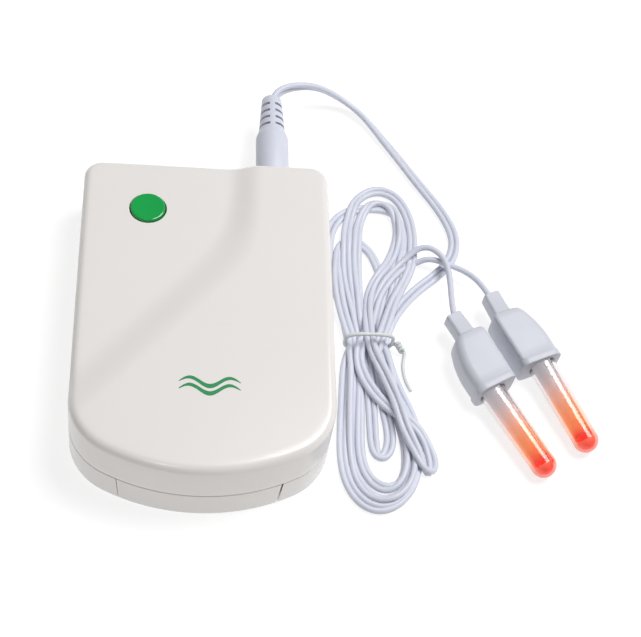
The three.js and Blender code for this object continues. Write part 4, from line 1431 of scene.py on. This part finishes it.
@dataclass
class LeadPair:
    """Two single leads that lie bonded side by side from the plug through the hank, then part.

    The leads are first laid through the hank's loops in layers. They then settle: each point drops,
    keeps its distance along the lead, keeps to its twin, and pushes off any other stretch it touches.
    """

    diameter_mm: float = 1.68
    bond_mm: float = 1.62
    spacing_mm: float = 1.5
    layer_mm: float = 1.9
    case_side_mm: float = 34.0
    fixed_mm: float = 150.0
    tie_y_mm: float = 3.4
    tie_half_mm: float = 1.6
    tie_low_mm: tuple[float, float] = (39.6, 0.84)
    tie_high_mm: tuple[float, float] = (49.8, 7.0)
    rounds: int = 260
    smoothing: int = 6
    twist: tuple[tuple[float, float], ...] = ((0, 82), (8, 86), (20, 122), (45, 130), (60, 146), (88, 180))

    def _middle(self) -> np.ndarray:
        """The line between the two leads, from the plug to where they part."""
        route: list[Point] = list(TWIN_ROUTE_MM)
        for lower, upper in zip_longest(LOWER, UPPER):
            for bight, step in ((lower, -1), (upper, 1)):
                if bight:
                    z = 1.0 + self.layer_mm * bight.level
                    route += [(x, y, z) for x, y in bight.plan[::step]]
        return smooth_line(route + list(LAST_RUN_MM), self.spacing_mm)

    def _laid(self) -> tuple[np.ndarray, np.ndarray, int]:
        """Both leads as first laid.

        Returns:
            The left lead's points, the right lead's points, and how many of them are bonded.
        """
        middle = self._middle()
        along = np.gradient(middle, axis=0)
        side = np.column_stack([-along[:, 1], along[:, 0], np.zeros(len(along))])
        side /= np.linalg.norm(side, axis=1)[:, None]
        run = np.arange(len(middle)) * self.spacing_mm
        angle = np.radians(np.interp(run, *zip(*self.twist)))
        offset = side * np.cos(angle)[:, None] + np.array([0, 0, 1.0]) * np.sin(angle)[:, None]
        leads = []
        for sign, name in ((-1, "left"), (1, "right")):
            bonded = middle + sign * self.bond_mm / 2 * offset
            tail = smooth_line([bonded[-1], *PROBE_ROUTES_MM[name]], self.spacing_mm)
            leads.append(np.vstack([bonded, tail[1:]]))
        return leads[0], leads[1], len(middle)

    def settled(self) -> tuple[np.ndarray, np.ndarray]:
        """Lets the two leads settle.

        Returns:
            The left and the right lead's points, in metres.
        """
        left, right, bonded = self._laid()
        p = np.vstack([left, right])
        home = p.copy()
        count = len(left)
        chain = np.concatenate([np.zeros(count, int), np.ones(len(right), int)])
        place = np.concatenate([np.arange(count), np.arange(len(right))])
        inner = np.array([k for k in range(len(p)) if 0 < place[k] < (count, len(right))[chain[k]] - 1])
        starts = np.array([k for k in range(len(p) - 1) if chain[k] == chain[k + 1]])
        pair = np.column_stack([np.arange(bonded), count + np.arange(bonded)])
        ends = np.zeros(len(p), bool)
        free_from = int(self.fixed_mm / self.spacing_mm)
        for first, total in ((0, count), (count, len(right))):
            ends[first:first + free_from] = True
            ends[first + bonded + 3:first + total] = True
        near: tuple[np.ndarray, np.ndarray] = (np.zeros(0, int), np.zeros(0, int))
        d, floor = self.diameter_mm, self.diameter_mm / 2
        for step in range(self.rounds):
            if step % 8 == 0:
                near = self._neighbours(p, chain, place, bonded)
            p[:, 2] -= 0.035
            hold = 0.03 if step < self.rounds * 0.7 else 0.01
            p[:, :2] += hold * (home[:, :2] - p[:, :2])
            for _ in range(2):
                for parity in (0, 1):
                    self._keep(p, starts[parity::2], starts[parity::2] + 1, self.spacing_mm, 0.9)
                self._keep(p, pair[:, 0], pair[:, 1], self.bond_mm, 0.8)
                self._part(p, *near, d)
            middle = (p[inner - 1] + p[inner + 1]) / 2
            p[inner] += 0.25 * (middle - p[inner])
            self._part(p, *near, d)
            self._bounds(p, floor)
            p[ends] = home[ends]
        for _ in range(self.smoothing):
            p[inner] += 0.5 * ((p[inner - 1] + p[inner + 1]) / 2 - p[inner])
            self._bounds(p, floor)
        return p[:count] * MM, p[count:] * MM

    def _bounds(self, p: np.ndarray, floor: float) -> None:
        """Keeps points on the table, off the case and inside the tie."""
        p[:, 2] = np.maximum(p[:, 2], floor)
        beside = (p[:, 1] < 47) & (p[:, 2] < 12) & (p[:, 0] < self.case_side_mm)
        p[beside, 0] = self.case_side_mm
        tied = np.abs(p[:, 1] - self.tie_y_mm) < self.tie_half_mm
        p[tied, 0] = np.clip(p[tied, 0], self.tie_low_mm[0], self.tie_high_mm[0])
        p[tied, 2] = np.clip(p[tied, 2], self.tie_low_mm[1], self.tie_high_mm[1])

    def _neighbours(self, p: np.ndarray, chain: np.ndarray, place: np.ndarray,
                    bonded: int) -> tuple[np.ndarray, np.ndarray]:
        """Pairs of points that may touch soon."""
        reach = self.diameter_mm * 2.2
        firsts, seconds = [], []
        for start in range(0, len(p), 256):
            rows = slice(start, start + 256)
            gap = ((p[rows, None, :] - p[None, :, :]) ** 2).sum(-1)
            i, j = np.nonzero(gap < reach**2)
            i = i + start
            keep = i < j
            apart = np.abs(place[i] - place[j])
            same = chain[i] == chain[j]
            keep &= np.where(same, apart > 3, (apart > 2) | (place[i] > bonded) | (place[j] > bonded))
            firsts.append(i[keep])
            seconds.append(j[keep])
        return np.concatenate(firsts), np.concatenate(seconds)

    @staticmethod
    def _keep(p: np.ndarray, a: np.ndarray, b: np.ndarray, length: float, share: float) -> None:
        """Moves pairs of points towards a fixed distance."""
        gap = p[b] - p[a]
        now = np.linalg.norm(gap, axis=1)[:, None]
        move = gap * (0.5 * share * (now - length) / np.maximum(now, 1e-6))
        p[a] += move
        p[b] -= move

    @staticmethod
    def _part(p: np.ndarray, a: np.ndarray, b: np.ndarray, length: float) -> None:
        """Pushes pairs of points apart where they are closer than a diameter."""
        gap = p[b] - p[a]
        now = np.linalg.norm(gap, axis=1)
        close = now < length
        a, b, gap, now = a[close], b[close], gap[close], now[close][:, None]
        move = gap * (0.5 * 0.7 * (now - length) / np.maximum(now, 1e-6))
        total = np.zeros_like(p)
        hits = np.zeros(len(p))
        np.add.at(total, a, move)
        np.add.at(total, b, -move)
        np.add.at(hits, a, 1)
        np.add.at(hits, b, 1)
        p += total / np.maximum(np.sqrt(hits), 1)[:, None]

    def sweep(self, name: str, line: np.ndarray) -> tuple[Obj, list[list[float]]]:
        """Sweeps a round lead along a line.

        Args:
            name: The object's name.
            line: The points that it follows.

        Returns:
            The lead as a mesh, and its centreline.
        """
        fine = smooth_line(line, 0.0009)
        return swept(name, fine, self.diameter_mm * MM / 2, 4), fine.tolist()


@dataclass
class Tie:
    """The coated wire tie round the waist of the hank: a ring, a knot and a loose tail."""

    radius: float = 0.00052
    y: float = 0.0034

    def build(self) -> Obj:
        """Sweeps the wire round the hank, through its knot and out to its tail."""
        low_x, high_x, low_z, high_z = 0.0382, 0.0512, 0.00055, 0.0074
        y = self.y
        ring = []
        squareness = 0.62
        for k in range(0, 41):
            a = math.radians(-20 - 9 * k)
            ca, sa = math.cos(a), math.sin(a)
            x = (low_x + high_x) / 2 + (high_x - low_x) / 2 * math.copysign(abs(ca) ** squareness, ca)
            z = (low_z + high_z) / 2 + (high_z - low_z) / 2 * math.copysign(abs(sa) ** squareness, sa)
            ring.append((x, y + 0.0005 * math.sin(a * 0.5), z))
        knot = []
        for k in range(0, 25):
            a = 2 * math.pi * k / 8
            s = k / 24
            knot.append((0.0525 + 0.0016 * s + 0.0006 * math.cos(a), y - 0.0018 * s,
                         0.0030 - 0.0014 * s + 0.0006 * math.sin(a)))
        tail = [(0.0545, 0.0002, 0.0011), (0.0541, -0.0028, 0.0007), (0.0545, -0.0066, 0.0007),
                (0.0558, -0.0102, 0.0007)]
        wire = swept("wire_tie", smooth_line([*ring, *knot, *tail], 0.0005), self.radius, 3)
        obj = finish_piece(wire, TIE_WHITE, Body.CASE, 60)
        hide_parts("hank_tie")
        return obj


def build_leads() -> list[Obj]:
    """Returns:
        The two leads.
    """
    pair = LeadPair()
    leads = []
    for name, line in zip(("left", "right"), pair.settled()):
        obj, path = pair.sweep(f"{name}_lead", line)
        finish_piece(obj, LEAD_WHITE, None, 60)
        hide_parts(f"{name}_probe_lead", "twin_lead", "lead_hank")
        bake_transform(obj)
        leads.append(obj)
    return leads


# --------------------------------------------------------------------------- carried-over parts


def dress_frame() -> None:
    """Gives every CAD node that stays in view its own finish."""
    finishes = {
        "switch_body": BLACK, "switch_plunger": BLACK, "circuit_board": BOARD, "control_chip": BLACK,
        "buzzer": BLACK, "filter_capacitor": CAPACITOR, "jack_socket": BLACK, "battery": BATTERY_WRAP,
        "battery_snap": BLACK, "battery_wire_red": WIRE_RED, "battery_wire_black": WIRE_BLACK,
        "plug_pin": BRASS, "left_probe_board": BOARD, "right_probe_board": BOARD,
    }
    families = {"case_screw_": STEEL, "board_screw_": STEEL, "resistor_": RESISTOR, "drive_transistor_": BLACK}
    for name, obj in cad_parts.items():
        family = next((f for start, f in families.items() if name.startswith(start)), None)
        finish = finishes.get(name) or family
        if finish is None:
            continue
        obj.data.materials.clear()
        obj.data.materials.append(finish.material())
        LOG.info("dressed %s", name)


# --------------------------------------------------------------------------- main


def main() -> None:
    """Builds the studio, the leads and every sub-assembly."""
    logging.basicConfig(level=logging.INFO, format="%(name)s: %(message)s")
    Studio().build()
    plug = Plug().build()
    tie = Tie().build()
    probes = {
        "left": Probe("left", (0.0770, -0.0123), -60.0, 1).build(),
        "right": Probe("right", (0.0912, -0.0033), -65.8, -1).build(),
    }
    pieces = build_leads()
    pieces += [plug, tie, *probes["left"], *probes["right"], *Case().build()]
    dress_frame()
    for piece in pieces:
        LOG.info("made %s with %d faces", piece.name, len(piece.data.polygons))


if __name__ == "__main__":
    main()
